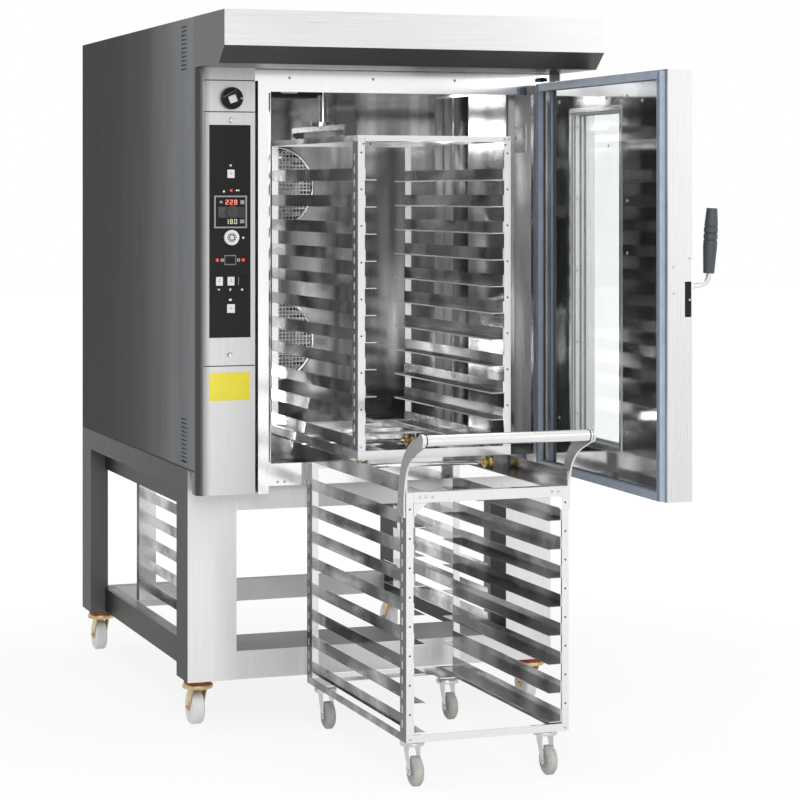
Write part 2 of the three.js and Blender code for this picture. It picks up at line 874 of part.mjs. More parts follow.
function chamberShell() {
  const front = frameFront + frameThick + fit;
  const liner = cut(
    box(
      chamberLeft - sheet,
      chamberRight + sheet,
      front,
      chamberBack + sheet,
      floorTop - sheet,
      chamberTop + sheet,
    ),
    box(chamberLeft, chamberRight, front - 1, chamberBack, floorTop, chamberTop),
  );
  const shaftHoles = [upperFanZ, lowerFanZ].map((z) =>
    rod(fanShaftRadius + 2, "y", chamberBack - 1, chamberBack + sheet + 1, [fanX, 0, z], 16),
  );
  const rotorHole = rod(
    rotorShaftRadius + 2,
    "z",
    chamberTop - 1,
    chamberTop + sheet + 1,
    [rotorX, rotorY, 0],
    16,
  );
  const rail = weld(
    prism(railSection(railTop - railThick), "y", trolleyRear + fit, railEnd),
    box(railLeft + 8, railLeft + railFlange - 8, front + 10, railEnd, floorTop - join, railTop - join),
  );
  return cut(weld(liner, rail, mirrored(rail, rackMid)), shaftHoles, rotorHole);
}

// Rear air panel with two fan guards and a tall outlet, folded round along the right wall.
function airBaffle() {
  const left = chamberLeft + fit;
  const right = chamberRight - airPanelInset;
  const bottom = floorTop + fit;
  const top = chamberTop - fit;
  const sideFrontEdge = baffleFront - airPanelLength;
  const holes = [upperFanZ, lowerFanZ].flatMap((fanZ) =>
    Array.from({ length: 2 * guardRows + 1 }, (_, i) => {
      const row = i - guardRows;
      const z = fanZ + row * guardPitch;
      const reach = Math.abs(row) * guardPitch + guardSlot / 2;
      const half = Math.sqrt(guardRadius ** 2 - reach ** 2);
      const depth = [baffleFront - 1, baffleFront + sheet + 1];
      return box(fanX - half, fanX + half, ...depth, z - guardSlot / 2, z + guardSlot / 2);
    }),
  );
  const outlet = box(
    left + airOutletMargin,
    left + airOutletMargin + airOutletWidth,
    baffleFront - 1,
    baffleFront + sheet + 1,
    bottom + airOutletMargin,
    top - airOutletMargin,
  );
  const wall = chamberRight - fit;
  const plan = [
    [left, baffleFront],
    [right - sheet, baffleFront],
    [right - sheet, sideFrontEdge],
    [wall, sideFrontEdge],
    [wall, sideFrontEdge + sheet],
    [right, sideFrontEdge + sheet],
    [right, baffleFront + sheet],
    [left, baffleFront + sheet],
  ];
  return cut(prism(plan, "z", bottom, top), holes, outlet);
}

function fanWheel() {
  const plateY = -fanDepth;
  const blades = Array.from({ length: fanBlades }, (_, i) => {
    const blade = box(fanRadius * 0.55, fanRadius - 3, -2, 2, 0, fanDepth);
    const turn = (i / fanBlades) * 360;
    return blade.rotate([0, 0, 25]).translate([0, -fanRadius * 0.25, 0]).rotate([0, 0, turn]).rotate([90, 0, 0]);
  });
  return weld(
    rod(fanRadius, "y", -sheet, 0, [0, 0, 0], 32),
    blades,
    rod(28, "y", plateY, -sheet + join, [0, 0, 0], 16),
    rod(fanShaftRadius, "y", -join, chamberBack + sheet + 22 - fanPlateBack, [0, 0, 0], 16),
  );
}

const fanPlateBack = chamberBack - 14;
const motorPlateFront = chamberBack + sheet + fit;

function fanMotors() {
  const plate = box(
    fanX - motorRadius - 30,
    fanX + motorRadius + 30,
    motorPlateFront,
    motorPlateFront + sheet,
    lowerFanZ - motorRadius - 30,
    upperFanZ + motorRadius + 30,
  );
  const motors = [upperFanZ, lowerFanZ].map((z) =>
    rod(motorRadius, "y", motorPlateFront + 1, motorPlateFront + motorLength, [fanX, 0, z], 24),
  );
  const bores = [upperFanZ, lowerFanZ].map((z) =>
    rod(fanShaftRadius + fit, "y", motorPlateFront - 1, chamberBack + sheet + 22 + fit, [fanX, 0, z], 16),
  );
  return cut(weld(plate, motors), bores);
}

const rotorHookBottom = rackTop + rackHeadroom;
const rotorBeamBottom = rotorHookBottom + rotorHookDrop;
const gearboxBottom = chamberTop + sheet + fit;
const rotorShaftTop = gearboxBottom + gearboxHeight / 2;

function rotorBody() {
  const half = rotorBeamWidth / 2;
  const beamTop = rotorBeamBottom + rotorBeamHeight;
  const hook = (side) =>
    weld(
      box(-half, half, side * rotorBeamHalf - 3, side * rotorBeamHalf + 3, rotorHookBottom, beamTop),
      box(
        -half,
        half,
        Math.min(side * rotorBeamHalf, side * (rotorBeamHalf - rotorHookLip)),
        Math.max(side * rotorBeamHalf, side * (rotorBeamHalf - rotorHookLip)),
        rotorHookBottom,
        rotorHookBottom + 6,
      ),
    );
  return weld(
    box(-half, half, -rotorBeamHalf, rotorBeamHalf, rotorBeamBottom, beamTop),
    hook(1),
    hook(-1),
    rod(rotorHubRadius, "z", beamTop - join, beamTop + 12, [0, 0, 0], 24),
    rod(rotorShaftRadius, "z", beamTop, rotorShaftTop, [0, 0, 0], 16),
  );
}

function gearmotor() {
  const half = gearboxSize / 2;
  const gearboxTop = gearboxBottom + gearboxHeight;
  const bore = rod(
    rotorShaftRadius + fit,
    "z",
    gearboxBottom - 1,
    rotorShaftTop + fit,
    [rotorX, rotorY, 0],
    16,
  );
  const body = weld(
    box(rotorX - half, rotorX + half, rotorY - half, rotorY + half, gearboxBottom, gearboxTop),
    rod(
      gearmotorRadius,
      "x",
      rotorX + half - join,
      rotorX + half + gearmotorLength,
      [0, rotorY, (gearboxBottom + gearboxTop) / 2],
      24,
    ),
  );
  return cut(body, bore);
}

piece("chamber_shell", chamberShell(), linerSteel, chamberGroup);
piece("air_baffle", airBaffle(), linerSteel, chamberGroup);
piece("fan_motors", fanMotors(), castIron, chamberGroup);
piece("fan_upper", fanWheel(), brightSteel, chamberGroup).position.set(fanX, fanPlateBack, upperFanZ);
piece("fan_lower", fanWheel(), brightSteel, chamberGroup).position.set(fanX, fanPlateBack, lowerFanZ);
piece("rotor", rotorBody(), brightSteel, chamberGroup).position.set(rotorX, rotorY, 0);
piece("rotor_gearmotor", gearmotor(), castIron, chamberGroup);

// ---- door ----
const doorRim = doorPanelFace + doorPanelThick + fit;
const glassInnerFace = doorRim + windowFrame;

function doorShell() {
  const skinInner = doorOuter - sheet;
  const pan = cut(
    box(doorRim, doorOuter, doorFreeEdge, doorHingeEdge, doorBottom, doorTop),
    box(
      doorRim - 1,
      skinInner,
      doorFreeEdge + sheet,
      doorHingeEdge - sheet,
      doorBottom + sheet,
      doorTop - sheet,
    ),
  );
  const tunnelFrom = glassInnerFace + doorGlassThick + fit;
  const tunnel = box(
    tunnelFrom,
    skinInner + join,
    windowFar - sheet,
    windowNear + sheet,
    windowBottom - sheet,
    windowTop + sheet,
  );
  const windowHole = box(
    tunnelFrom - 1,
    doorOuter + 1,
    windowFar,
    windowNear,
    windowBottom,
    windowTop,
  );
  const slotOuter = doorOuter - latchSlotInset;
  const latchSlot = box(
    slotOuter - latchSlotWidth,
    slotOuter,
    doorFreeEdge - 1,
    doorFreeEdge + sheet + 1,
    latchSlotBottom,
    latchSlotBottom + latchSlotHeight,
  );
  const spindleHole = rod(
    handleSpindleRadius + fit,
    "x",
    skinInner - 1,
    doorOuter + 1,
    [0, handleY, handleZ],
    16,
  );
  const pinHoles = [
    rod(doorPinRadius + fit, "z", doorBottom - 1, doorBottom + sheet + 1, [doorPinX, doorPinY, 0], 16),
    rod(doorPinRadius + fit, "z", doorTop - sheet - 1, doorTop + 1, [doorPinX, doorPinY, 0], 16),
  ];
  return cut(weld(pan, tunnel), windowHole, latchSlot, spindleHole, pinHoles);
}

function doorInnerPanel() {
  const back = doorPanelFace + doorPanelThick;
  const frame = box(
    back - join,
    glassInnerFace - fit,
    windowFar - windowLap,
    windowNear + windowLap,
    windowBottom - windowLap,
    windowTop + windowLap,
  );
  const hole = box(
    doorPanelFace - 1,
    glassInnerFace + 1,
    windowFar,
    windowNear,
    windowBottom,
    windowTop,
  );
  const panel = box(doorPanelFace, back, doorFreeEdge, doorHingeEdge, doorBottom, doorTop);
  return cut(weld(panel, frame), hole);
}

function doorGasket() {
  const from = doorPanelFace - fit - gasketThick;
  const to = doorPanelFace - fit;
  return cut(
    box(from, to, gasketFreeEdge, gasketHingeEdge, gasketBottom, gasketTop),
    box(
      from - 1,
      to + 1,
      gasketFreeEdge + gasketWidth,
      gasketHingeEdge - gasketWidth,
      gasketBottom + gasketWidth,
      gasketTop - gasketWidth,
    ),
  );
}

// A round bar along a curve.
function bar(radius, points, steps, sides) {
  const curve = new THREE.CatmullRomCurve3(points.map((p) => new THREE.Vector3(...p)), false, "centripetal");
  const section = new THREE.Shape(
    Array.from({ length: sides }, (_, i) => {
      const angle = (i / sides) * 2 * Math.PI;
      return new THREE.Vector2(radius * Math.cos(angle), radius * Math.sin(angle));
    }),
  );
  return solid(new THREE.ExtrudeGeometry(section, { steps, extrudePath: curve, bevelEnabled: false }));
}

const gripFootX = doorOuter + handleReach;
const gripFootZ = gripBottom - handleZ;
const gripTurn = THREE.MathUtils.degToRad(gripLean);
const leaned = (body) => body.rotate([0, gripLean, 0]).translate([gripFootX, 0, gripFootZ]);

// The lever: a spindle through the skin, a collar and a bent rod up to the grip.
function handleRod() {
  const collarEnd = doorOuter + fit + 6;
  const gripLine = (along) => [
    gripFootX + along * Math.sin(gripTurn),
    0,
    gripFootZ + along * Math.cos(gripTurn),
  ];
  const rodPath = [
    [doorOuter + fit + 2, 0, 0],
    [doorOuter + handleReach * 0.5, 0, 1],
    [doorOuter + handleReach * 0.85, 0, 9],
    gripLine(-9),
    gripLine(-1),
  ];
  return weld(
    rod(handleSpindleRadius, "x", doorOuter - 20, collarEnd, [0, 0, 0], 16),
    rod(handleSpindleRadius + 5, "x", doorOuter + fit, collarEnd, [0, 0, 0], 20),
    bar(handleRodRadius, rodPath, 12, 12),
    leaned(rod(handleRodRadius - 2, "z", -4, gripLength / 2, [0, 0, 0], 12)),
  );
}

// A tapered grip with three grooves and a socket for the rod's end.
function handleGrip() {
  const groove = gripRadius * 0.9;
  const socket = handleRodRadius - 2 + fit;
  const profile = [
    [socket, 0],
    [gripRadius * 0.76, 0],
    [gripRadius * 0.8, 4],
    [gripRadius, gripLength * 0.4],
    [gripRadius, gripLength * 0.5],
    [groove, gripLength * 0.51],
    [groove, gripLength * 0.52],
    [gripRadius, gripLength * 0.53],
    [gripRadius, gripLength * 0.6],
    [groove, gripLength * 0.61],
    [groove, gripLength * 0.62],
    [gripRadius, gripLength * 0.63],
    [gripRadius, gripLength * 0.7],
    [groove, gripLength * 0.71],
    [groove, gripLength * 0.72],
    [gripRadius * 0.97, gripLength * 0.73],
    [gripRadius * 0.77, gripLength],
    [0, gripLength],
    [0, gripLength / 2 + fit],
    [socket, gripLength / 2 + fit],
  ];
  return leaned(turned(profile, "z", [0, 0, 0], 20));
}

piece("door_shell", doorShell(), brushedSteel, doorLeaf);
piece("door_inner_panel", doorInnerPanel(), linerSteel, doorLeaf);
piece(
  "door_glass",
  box(
    glassInnerFace,
    glassInnerFace + doorGlassThick,
    windowFar - windowLap,
    windowNear + windowLap,
    windowBottom - windowLap,
    windowTop + windowLap,
  ),
  clearGlass,
  doorLeaf,
);
piece("door_gasket", doorGasket(), sealBlue, doorLeaf);
piece("door_handle_rod", handleRod(), brightSteel, doorLeaf).position.set(0, handleY, handleZ);
piece("door_handle_grip", handleGrip(), gripBlack, doorLeaf).position.set(0, handleY, handleZ);

// ---- tray rack and trolley: perforated angle posts with tray runners between them ----
function anglePost(x, y, bottom, top) {
  return weld(
    box(x, x + postFlangeX, y, y + postThick, bottom, top),
    box(x, x + postThick, y, y + postFlangeY, bottom, top),
  );
}

// Two posts and the runners between them; each runner's ends are bent out onto the posts' flanges.
function traySide(x, front, rear, bottom, top, levels, topLevel, pitch) {
  const rearPost = rear - postFlangeY;
  const frontLug = front + postThick;
  const webX = x + postFlangeX + 1;
  const runners = Array.from({ length: levels }, (_, level) => {
    const z = topLevel - level * pitch;
    const lugTop = z + trayWeb;
    return weld(
      angleRunner(webX, z, trayWeb, trayLedge, trayThick, frontLug + fit, rearPost),
      box(x + postThick + fit, webX + join, frontLug - join, frontLug + trayThick, z + join, lugTop),
      box(x + postThick + fit, webX + join, rearPost - trayThick, rearPost + join, z + join, lugTop),
    );
  });
  return weld(anglePost(x, front, bottom, top), anglePost(x, rearPost, bottom, top), runners);
}

// A rectangular ring of angle steel: upright flanges outside, flat flanges inside.
function angleRing(x0, x1, y0, y1, z0, z1, flatAtTop, thick, flange) {
  const flat = flatAtTop ? [z0 - 1, z1 - thick] : [z0 + thick, z1 + 1];
  return cut(
    box(x0, x1, y0, y1, z0, z1),
    box(x0 + thick, x1 - thick, y0 + thick, y1 - thick, ...flat),
    box(x0 + flange, x1 - flange, y0 + flange, y1 - flange, z0 - 1, z1 + 1),
  );
}

const rackRight = rackLeft + rackWidth;
const rackRear = rackFront + rackLength;
const rollerZ = railTop + fit + rollerRadius;
const wheelsets = [
  ["rack_wheelset_front", rackFront + rollerFrontY],
  ["rack_wheelset_rear", rackFront + rollerRearY],
];

// A hanger under the rack's left rail with the hole that its axle turns in.
function axleHanger(y) {
  const inner = rackLeft + rollerInset - rollerWidth / 2 - 2 * fit;
  const outer = inner - lugThick;
  const hanger = weld(
    box(outer, inner, y - lugHalf, y + lugHalf, rollerZ - 9, rackBottom + lugThick),
    box(rackLeft + postThick, inner, y - lugHalf, y + lugHalf, rackBottom, rackBottom + lugThick),
  );
  return cut(hanger, rod(axleRodRadius + fit, "x", outer - 1, inner + 1, [0, y, rollerZ], 12));
}

const rackBaseTop = rackBottom + rackBaseBar;
const rackSide = traySide(
  rackLeft,
  rackFront,
  rackRear,
  rackBaseTop + fit,
  rackTop - rackTopBar - fit,
  rackLevels,
  rackTopLevel,
  rackPitch,
);
piece("rack_side_left", rackSide, brightSteel, rackGroup);
piece("rack_side_right", mirrored(rackSide, rackMid), brightSteel, rackGroup);
piece(
  "rack_top_frame",
  angleRing(
    rackLeft,
    rackRight,
    rackFront,
    rackRear,
    rackTop - rackTopBar,
    rackTop,
    true,
    postThick,
    postFlangeX,
  ),
  brightSteel,
  rackGroup,
);
const hangers = weld(wheelsets.map(([, y]) => axleHanger(y)));
piece(
  "rack_base_frame",
  weld(
    angleRing(
      rackLeft,
      rackRight,
      rackFront,
      rackRear,
      rackBottom,
      rackBaseTop,
      false,
      postThick,
      postFlangeX,
    ),
    box(
      rackLeft + join,
      rackRight - join,
      rackFront + rollerRearY - 60,
      rackFront + rollerRearY - 35,
      rackBottom + join,
      rackBottom + 6,
    ),
    hangers,
    mirrored(hangers, rackMid),
  ),
  brightSteel,
  rackGroup,
);

// An axle across the rack with a double-flanged roller near each end.
function wheelset() {
  const half = rackWidth / 2;
  const roller = half - rollerInset;
  const inner = roller - rollerWidth / 2;
  const outer = roller + rollerWidth / 2;
  const end = outer + lugThick + 4 * fit;
  const right = [
    [axleRodRadius, inner - 6],
    [axleNutRadius, inner - 6],
    [axleNutRadius, inner],
    [rollerRadius, inner],
    [rollerRadius, inner + 5],
    [rollerGroove, roller],
    [rollerRadius, outer - 5],
    [rollerRadius, outer],
    [axleRodRadius, outer],
    [axleRodRadius, end],
    [0, end],
  ];
  const left = right.map(([r, x]) => [r, -x]).reverse();
  return turned([...left, ...right], "x", [0, 0, 0], 20);
}
wheelsets.forEach(([name, y]) =>
  piece(name, wheelset(), brass, rackGroup).position.set(rackMid, y, rollerZ),
);

// ---- trolley ----
const trolleyMid = trolleyLeft + trolleyWidth / 2;
const trolleyBaseTop = trolleyFoot + trolleyBase;
const trolleySide = traySide(
  trolleyLeft,
  trolleyFront,
  trolleyRear,
  trolleyBaseTop + fit,
  railTop - railThick - fit,
  trolleyLevels,
  trolleyTopLevel,
  trolleyPitch,
);
piece("trolley_side_left", trolleySide, brightSteel, trolleyGroup);
piece("trolley_side_right", mirrored(trolleySide, trolleyMid), brightSteel, trolleyGroup);

function trolleyTopFrame() {
  const rail = prism(railSection(railTop - railThick), "y", trolleyFront, trolleyRear);
  const barLeft = trolleyLeft + postFlangeX + fit;
  const barRight = trolleyRight - postFlangeX - fit;
  const barBottom = railTop - trolleyBar;
  return weld(
    rail,
    mirrored(rail, trolleyMid),
    box(barLeft, barRight, trolleyFront, trolleyFront + postThick, barBottom, railTop - join),
    box(barLeft, barRight, trolleyRear - postThick, trolleyRear, barBottom, railTop - join),
    box(barLeft, barRight, trolleyFront, trolleyFront + trolleyBar, railTop - railThick, railTop - join),
    box(barLeft, barRight, trolleyRear - trolleyBar, trolleyRear, railTop - railThick, railTop - join),
  );
}

function trolleyBaseFrame() {
  const plates = trolleyCastorPlaces.map(([, x, y]) => castorPlate(trolleyCastor, x, y));
  const frame = angleRing(
    trolleyLeft,
    trolleyRight,
    trolleyFront,
    trolleyRear,
    trolleyFoot,
    trolleyBaseTop,
    false,
    postThick,
    trolleyBar,
  );
  return weld(frame, plates);
}

// Push handle: a tube between two curved flat arms bolted outside the front posts.
function pushHandle() {
  const armY = trolleyFront + armWidth / 2 + 4;
  const half = armWidth / 2;
  const centreline = new THREE.CatmullRomCurve3(
    [
      [armY, armBottom],
      [armY, (armBottom + armBend) / 2],
      [armY - 4, armBend],
      [armY - 24, armBend + 60],
      [armY - 70, armBend + 106],
      [pushTubeY, pushTubeZ],
    ].map(([y, z]) => new THREE.Vector3(y, z, 0)),
    false,
    "centripetal",
  );
  const steps = 16;
  const left = [];
  const right = [];
  for (let i = 0; i <= steps; i++) {
    const at = centreline.getPoint(i / steps);
    const along = centreline.getTangent(i / steps);
    const width = half * (1 - 0.25 * (i / steps));
    left.push([at.x - along.y * width, at.y + along.x * width]);
    right.push([at.x + along.y * width, at.y - along.x * width]);
  }
  const outline = [...left, ...right.reverse()];
  const armOuter = trolleyLeft - fit - armThick;
  const arm = prism(outline, "x", armOuter, trolleyLeft - fit);
  const tubeLeft = armOuter - join;
  const tubeRight = 2 * trolleyMid - tubeLeft;
  const centre = [0, pushTubeY, pushTubeZ];
  return weld(
    arm,
    mirrored(arm, trolleyMid),
    rod(pushTubeRadius, "x", tubeLeft, tubeRight, centre, 24),
    rod(pushCapRadius, "x", tubeLeft - pushCapThick, tubeLeft + join, centre, 24),
    rod(pushCapRadius, "x", tubeRight - join, tubeRight + pushCapThick, centre, 24),
  );
}

piece("trolley_top_frame", trolleyTopFrame(), brightSteel, trolleyGroup);
piece("trolley_base", trolleyBaseFrame(), brightSteel, trolleyGroup);
piece("trolley_handle", pushHandle(), armGrey, trolleyGroup);
trolleyCastorPlaces.forEach(([name, x, y]) =>
  castor(name, trolleyCastor, x, y, galvanised, tyreGrey, trolleyGroup),
);

// The origin is the middle of the whole object's footprint, on the floor.
const extent = new THREE.Box3().setFromObject(oven);
oven.position.set(-(extent.min.x + extent.max.x) / 2, -(extent.min.y + extent.max.y) / 2, 0);

export default oven;
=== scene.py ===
# %% [markdown]
# # A rotating rack oven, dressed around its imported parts
# The solids of the oven come in as a fixed frame. This lesson gives each of them a finish, adds the small
# things a solid leaves out, such as screws, bezels, punched holes and bolts, and sets up the picture.

import math

import bpy
from mathutils import Matrix, Vector


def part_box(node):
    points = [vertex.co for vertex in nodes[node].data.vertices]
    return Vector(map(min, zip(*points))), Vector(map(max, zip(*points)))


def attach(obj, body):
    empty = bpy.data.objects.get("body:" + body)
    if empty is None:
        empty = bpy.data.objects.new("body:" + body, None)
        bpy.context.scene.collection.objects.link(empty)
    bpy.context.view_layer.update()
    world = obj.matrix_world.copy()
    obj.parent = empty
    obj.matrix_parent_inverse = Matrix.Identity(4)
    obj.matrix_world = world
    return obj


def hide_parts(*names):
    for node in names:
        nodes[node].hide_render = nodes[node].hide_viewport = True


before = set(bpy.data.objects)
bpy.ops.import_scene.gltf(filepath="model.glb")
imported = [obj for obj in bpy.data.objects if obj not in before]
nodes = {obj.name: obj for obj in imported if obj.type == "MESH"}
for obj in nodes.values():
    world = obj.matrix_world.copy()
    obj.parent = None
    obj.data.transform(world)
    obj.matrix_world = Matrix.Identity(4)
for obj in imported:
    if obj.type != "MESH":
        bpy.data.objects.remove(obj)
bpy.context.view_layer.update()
print(len(nodes), "nodes in the frame")

# %% [markdown]
# ## One way to say where things are
# The real oven is measured in millimetres from the front left corner of its stand: X to the right, Y
# towards the back, Z up. `spot` turns such a place into Blender's metres, so every number below can be read
# on a ruler.

# %% Places in millimetres
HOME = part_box("stand_frame")[0]
FRONT, LEFT, UP, DOWN = (0, -1, 0), (-1, 0, 0), (0, 0, 1), (0, 0, -1)


def mm(value):
    return value / 1000


def spot(x, y, z):
    return Vector((HOME[0] + x / 1000, HOME[1] + y / 1000, z / 1000))


print("home corner", [round(v, 4) for v in HOME])

# %% [markdown]
# ## Starting shapes
# An operator acts on everything that is selected, so each helper first clears the selection. It then adds
# one primitive at its size and place and applies the transform, so that the object stays at the origin and
# only its mesh holds the place.

# %% Helpers for starting shapes
AXIS_TURN = {"X": (0, math.pi / 2, 0), "Y": (math.pi / 2, 0, 0), "Z": (0, 0, 0)}


def clear():
    if bpy.context.object and bpy.context.object.mode != "OBJECT":
        bpy.ops.object.mode_set(mode="OBJECT")
    bpy.ops.object.select_all(action="DESELECT")


def settle(name):
    piece = bpy.context.object
    bpy.ops.object.transform_apply(location=True, rotation=True, scale=True)
    piece.name = name
    piece.data.name = name
    return piece


def block(name, low, high):
    clear()
    a, b = spot(*low), spot(*high)
    bpy.ops.mesh.primitive_cube_add(size=1, location=(a + b) / 2)
    bpy.context.object.scale = b - a
    return settle(name)


def drum(name, centre, radius, length, axis="Y", sides=24):
    clear()
    bpy.ops.mesh.primitive_cylinder_add(
        vertices=sides,
        radius=mm(radius),
        depth=mm(length),
        location=spot(*centre),
        rotation=AXIS_TURN[axis],
    )
    return settle(name)


# %% [markdown]
# A turned ring or a printed sign begins as an outline. A circle with as many corners as the outline has
# points is added at its first point, and its corners are then moved to their places. It has a face, or is
# only a wire.

# %% Outlines
def outline(name, points, fill="NOTHING"):
    clear()
    corners = [spot(*point) for point in points]
    sides = len(corners)
    bpy.ops.mesh.primitive_circle_add(vertices=sides, radius=mm(5), fill_type=fill, location=corners[0])
    piece = settle(name)
    for vertex, corner in zip(piece.data.vertices, corners):
        vertex.co = corner
    return piece


# %% [markdown]
# ## Shaping tools
# Faces are chosen in code, by where they are and which way they look. Then the same operators are used as
# at the screen: inset, extrude and bridge. Modifiers such as Bevel are applied at once, so the mesh is
# final.

# %% Choosing faces
def work_on(piece):
    clear()
    piece.select_set(True)
    bpy.context.view_layer.objects.active = piece


def done():
    bpy.ops.object.mode_set(mode="OBJECT")


def choose(piece, test):
    """Enters edit mode with those faces selected whose centre and normal pass the test."""
    work_on(piece)
    bpy.ops.object.mode_set(mode="EDIT")
    bpy.ops.mesh.select_mode(type="FACE")
    bpy.ops.mesh.select_all(action="DESELECT")
    done()
    for face in piece.data.polygons:
        face.select = bool(test(face.center, face.normal))
    bpy.ops.object.mode_set(mode="EDIT")


def facing(direction):
    aim = Vector(direction)
    return lambda centre, normal: normal.dot(aim) > 0.9


# %% Sinking, opening and softening
def extrude(move):
    bpy.ops.mesh.extrude_region_move(TRANSFORM_OT_translate={"value": move})


def sink(piece, direction, margin, depth):
    """Insets the faces that look one way and pushes the inner part in (negative) or out (positive)."""
    choose(piece, facing(direction))
    bpy.ops.mesh.inset(thickness=mm(margin), depth=0)
    extrude(Vector(direction) * mm(depth))
    done()
    return piece


def open_through(piece, axis, margin):
    """Insets the two ends along an axis (0, 1 or 2) and bridges them, which opens the piece into a ring."""
    choose(piece, lambda centre, normal: abs(normal[axis]) > 0.9)
    bpy.ops.mesh.inset(thickness=mm(margin), depth=0)
    bpy.ops.mesh.bridge_edge_loops()
    done()
    return piece


def soften(piece, width, segments=2, angle=35):
    """Bevels the sharp edges by a width in millimetres and shades what is left smooth."""
    work_on(piece)
    edge = piece.modifiers.new("edge", "BEVEL")
    edge.width = mm(width)
    edge.segments = segments
    edge.limit_method = "ANGLE"
    edge.angle_limit = math.radians(angle)
    bpy.ops.object.modifier_apply(modifier="edge")
    bpy.ops.object.shade_smooth_by_angle(angle=math.radians(angle))
    return piece


# %% [markdown]
# What repeats is modelled once. Each copy gets its own mesh, moved by millimetres, and the copies are
# joined.

# %% Copying, joining and turning
def copied(piece, name, offset):
    twin = piece.copy()
    twin.data = piece.data.copy()
    twin.name = name
    twin.data.name = name
    twin.data.transform(Matrix.Translation(Vector(offset) / 1000))
    bpy.context.collection.objects.link(twin)
    return twin


def joined(name, pieces):
    work_on(pieces[0])
    for piece in pieces:
        piece.select_set(True)
    if len(pieces) > 1:
        bpy.ops.object.join()
    pieces[0].name = name
    pieces[0].data.name = name
    return pieces[0]


def repeat(pattern, name, offsets):
    copies = [copied(pattern, name, offset) for offset in offsets]
    bpy.data.objects.remove(pattern)
    return joined(name, copies)


def turn(piece, hub, degrees, axis):
    """Turns a piece about an axis through a place in metres."""
    turning = Matrix.Rotation(math.radians(degrees), 4, axis)
    piece.data.transform(Matrix.Translation(hub) @ turning @ Matrix.Translation(-hub))
    return piece


# %% [markdown]
# ## Nodes in few words
# A finish is a small tree of nodes. These helpers add one node, set its values and return the socket that
# the next one needs. Every pattern reads Object coordinates, so it stays on the piece wherever the camera
# stands.

# %% Materials and coordinates
FINISH = {}


def new_material(name):
    material = bpy.data.materials.new(name)
    material.use_nodes = True
    FINISH[name] = material
    return material.node_tree, material.node_tree.nodes["Principled BSDF"]


def add(tree, kind, **settings):
    node = tree.nodes.new(kind)
    for key, value in settings.items():
        setattr(node, key, value)
    return node


def coordinate(tree, kind):
    return add(tree, "ShaderNodeTexCoord").outputs[kind]


def axes(tree, vector):
    node = add(tree, "ShaderNodeSeparateXYZ")
    tree.links.new(vector, node.inputs["Vector"])
    return node.outputs


def noise(tree, stretch, scale, detail=3.0):
    """Noise on Object coordinates that are first multiplied by stretch: a large factor makes fine grain."""
    mapping = add(tree, "ShaderNodeMapping")
    mapping.inputs["Scale"].default_value = stretch
    tree.links.new(coordinate(tree, "Object"), mapping.inputs["Vector"])
    node = add(tree, "ShaderNodeTexNoise")
    for socket, value in (("Scale", scale), ("Detail", detail), ("Roughness", 0.55)):
        node.inputs[socket].default_value = value
    tree.links.new(mapping.outputs["Vector"], node.inputs["Vector"])
    return node.outputs["Fac"]


# %% Numbers and colours
def grey(value, tint=0.0):
    """A grey with a little less red and a little more blue."""
    return (value * (1 - tint), value, value * (1 + tint))


def math_node(tree, operation, *values):
    node = add(tree, "ShaderNodeMath", operation=operation)
    for socket, value in zip(node.inputs, values):
        if isinstance(value, (int, float)):
            socket.default_value = value
        else:
            tree.links.new(value, socket)
    return node.outputs["Value"]


def map_range(tree, value, low, high, to_low=0.0, to_high=1.0, kind="LINEAR"):
    node = add(tree, "ShaderNodeMapRange", interpolation_type=kind)
    for socket, number in (("From Min", low), ("From Max", high), ("To Min", to_low), ("To Max", to_high)):
        node.inputs[socket].default_value = number
    tree.links.new(value, node.inputs["Value"])
    return node.outputs["Result"]


def ramp(tree, source, stops, interpolation="LINEAR"):
    node = add(tree, "ShaderNodeValToRGB")
    node.color_ramp.interpolation = interpolation
    elements = node.color_ramp.elements
    while len(elements) < len(stops):
        elements.new(0.5)
    for element, (place, colour) in zip(elements, stops):
        element.position = place
        element.color = (*(colour if isinstance(colour, tuple) else grey(colour)), 1)
    tree.links.new(source, node.inputs["Fac"])
    return node.outputs["Color"]


def mixed(tree, factor, first, second, blend="MIX"):
    node = add(tree, "ShaderNodeMix", data_type="RGBA", blend_type=blend)
    if isinstance(factor, (int, float)):
        node.inputs["Factor"].default_value = factor
    else:
        tree.links.new(factor, node.inputs["Factor"])
    for socket, value in ((node.inputs["A"], first), (node.inputs["B"], second)):
        if isinstance(value, tuple):
            socket.default_value = (*value, 1)
        else:
            tree.links.new(value, socket)
    return node.outputs["Result"]


# %% Relief and roughness
def relief(tree, height, strength, distance, below=None):
    node = add(tree, "ShaderNodeBump")
    node.inputs["Strength"].default_value = strength
    node.inputs["Distance"].default_value = distance
    tree.links.new(height, node.inputs["Height"])
    if below is not None:
        tree.links.new(below, node.inputs["Normal"])
    return node.outputs["Normal"]


def dress(tree, shader, tone, metal, sheen, rough, normal=None):
    """Links the colour, the roughness and the relief, and sets what is the same all over."""
    tree.links.new(tone, shader.inputs["Base Color"])
    tree.links.new(rough, shader.inputs["Roughness"])
    shader.inputs["Metallic"].default_value = metal
    shader.inputs["Specular IOR Level"].default_value = sheen
    if normal is not None:
        tree.links.new(normal, shader.inputs["Normal"])


print("node helpers ready")
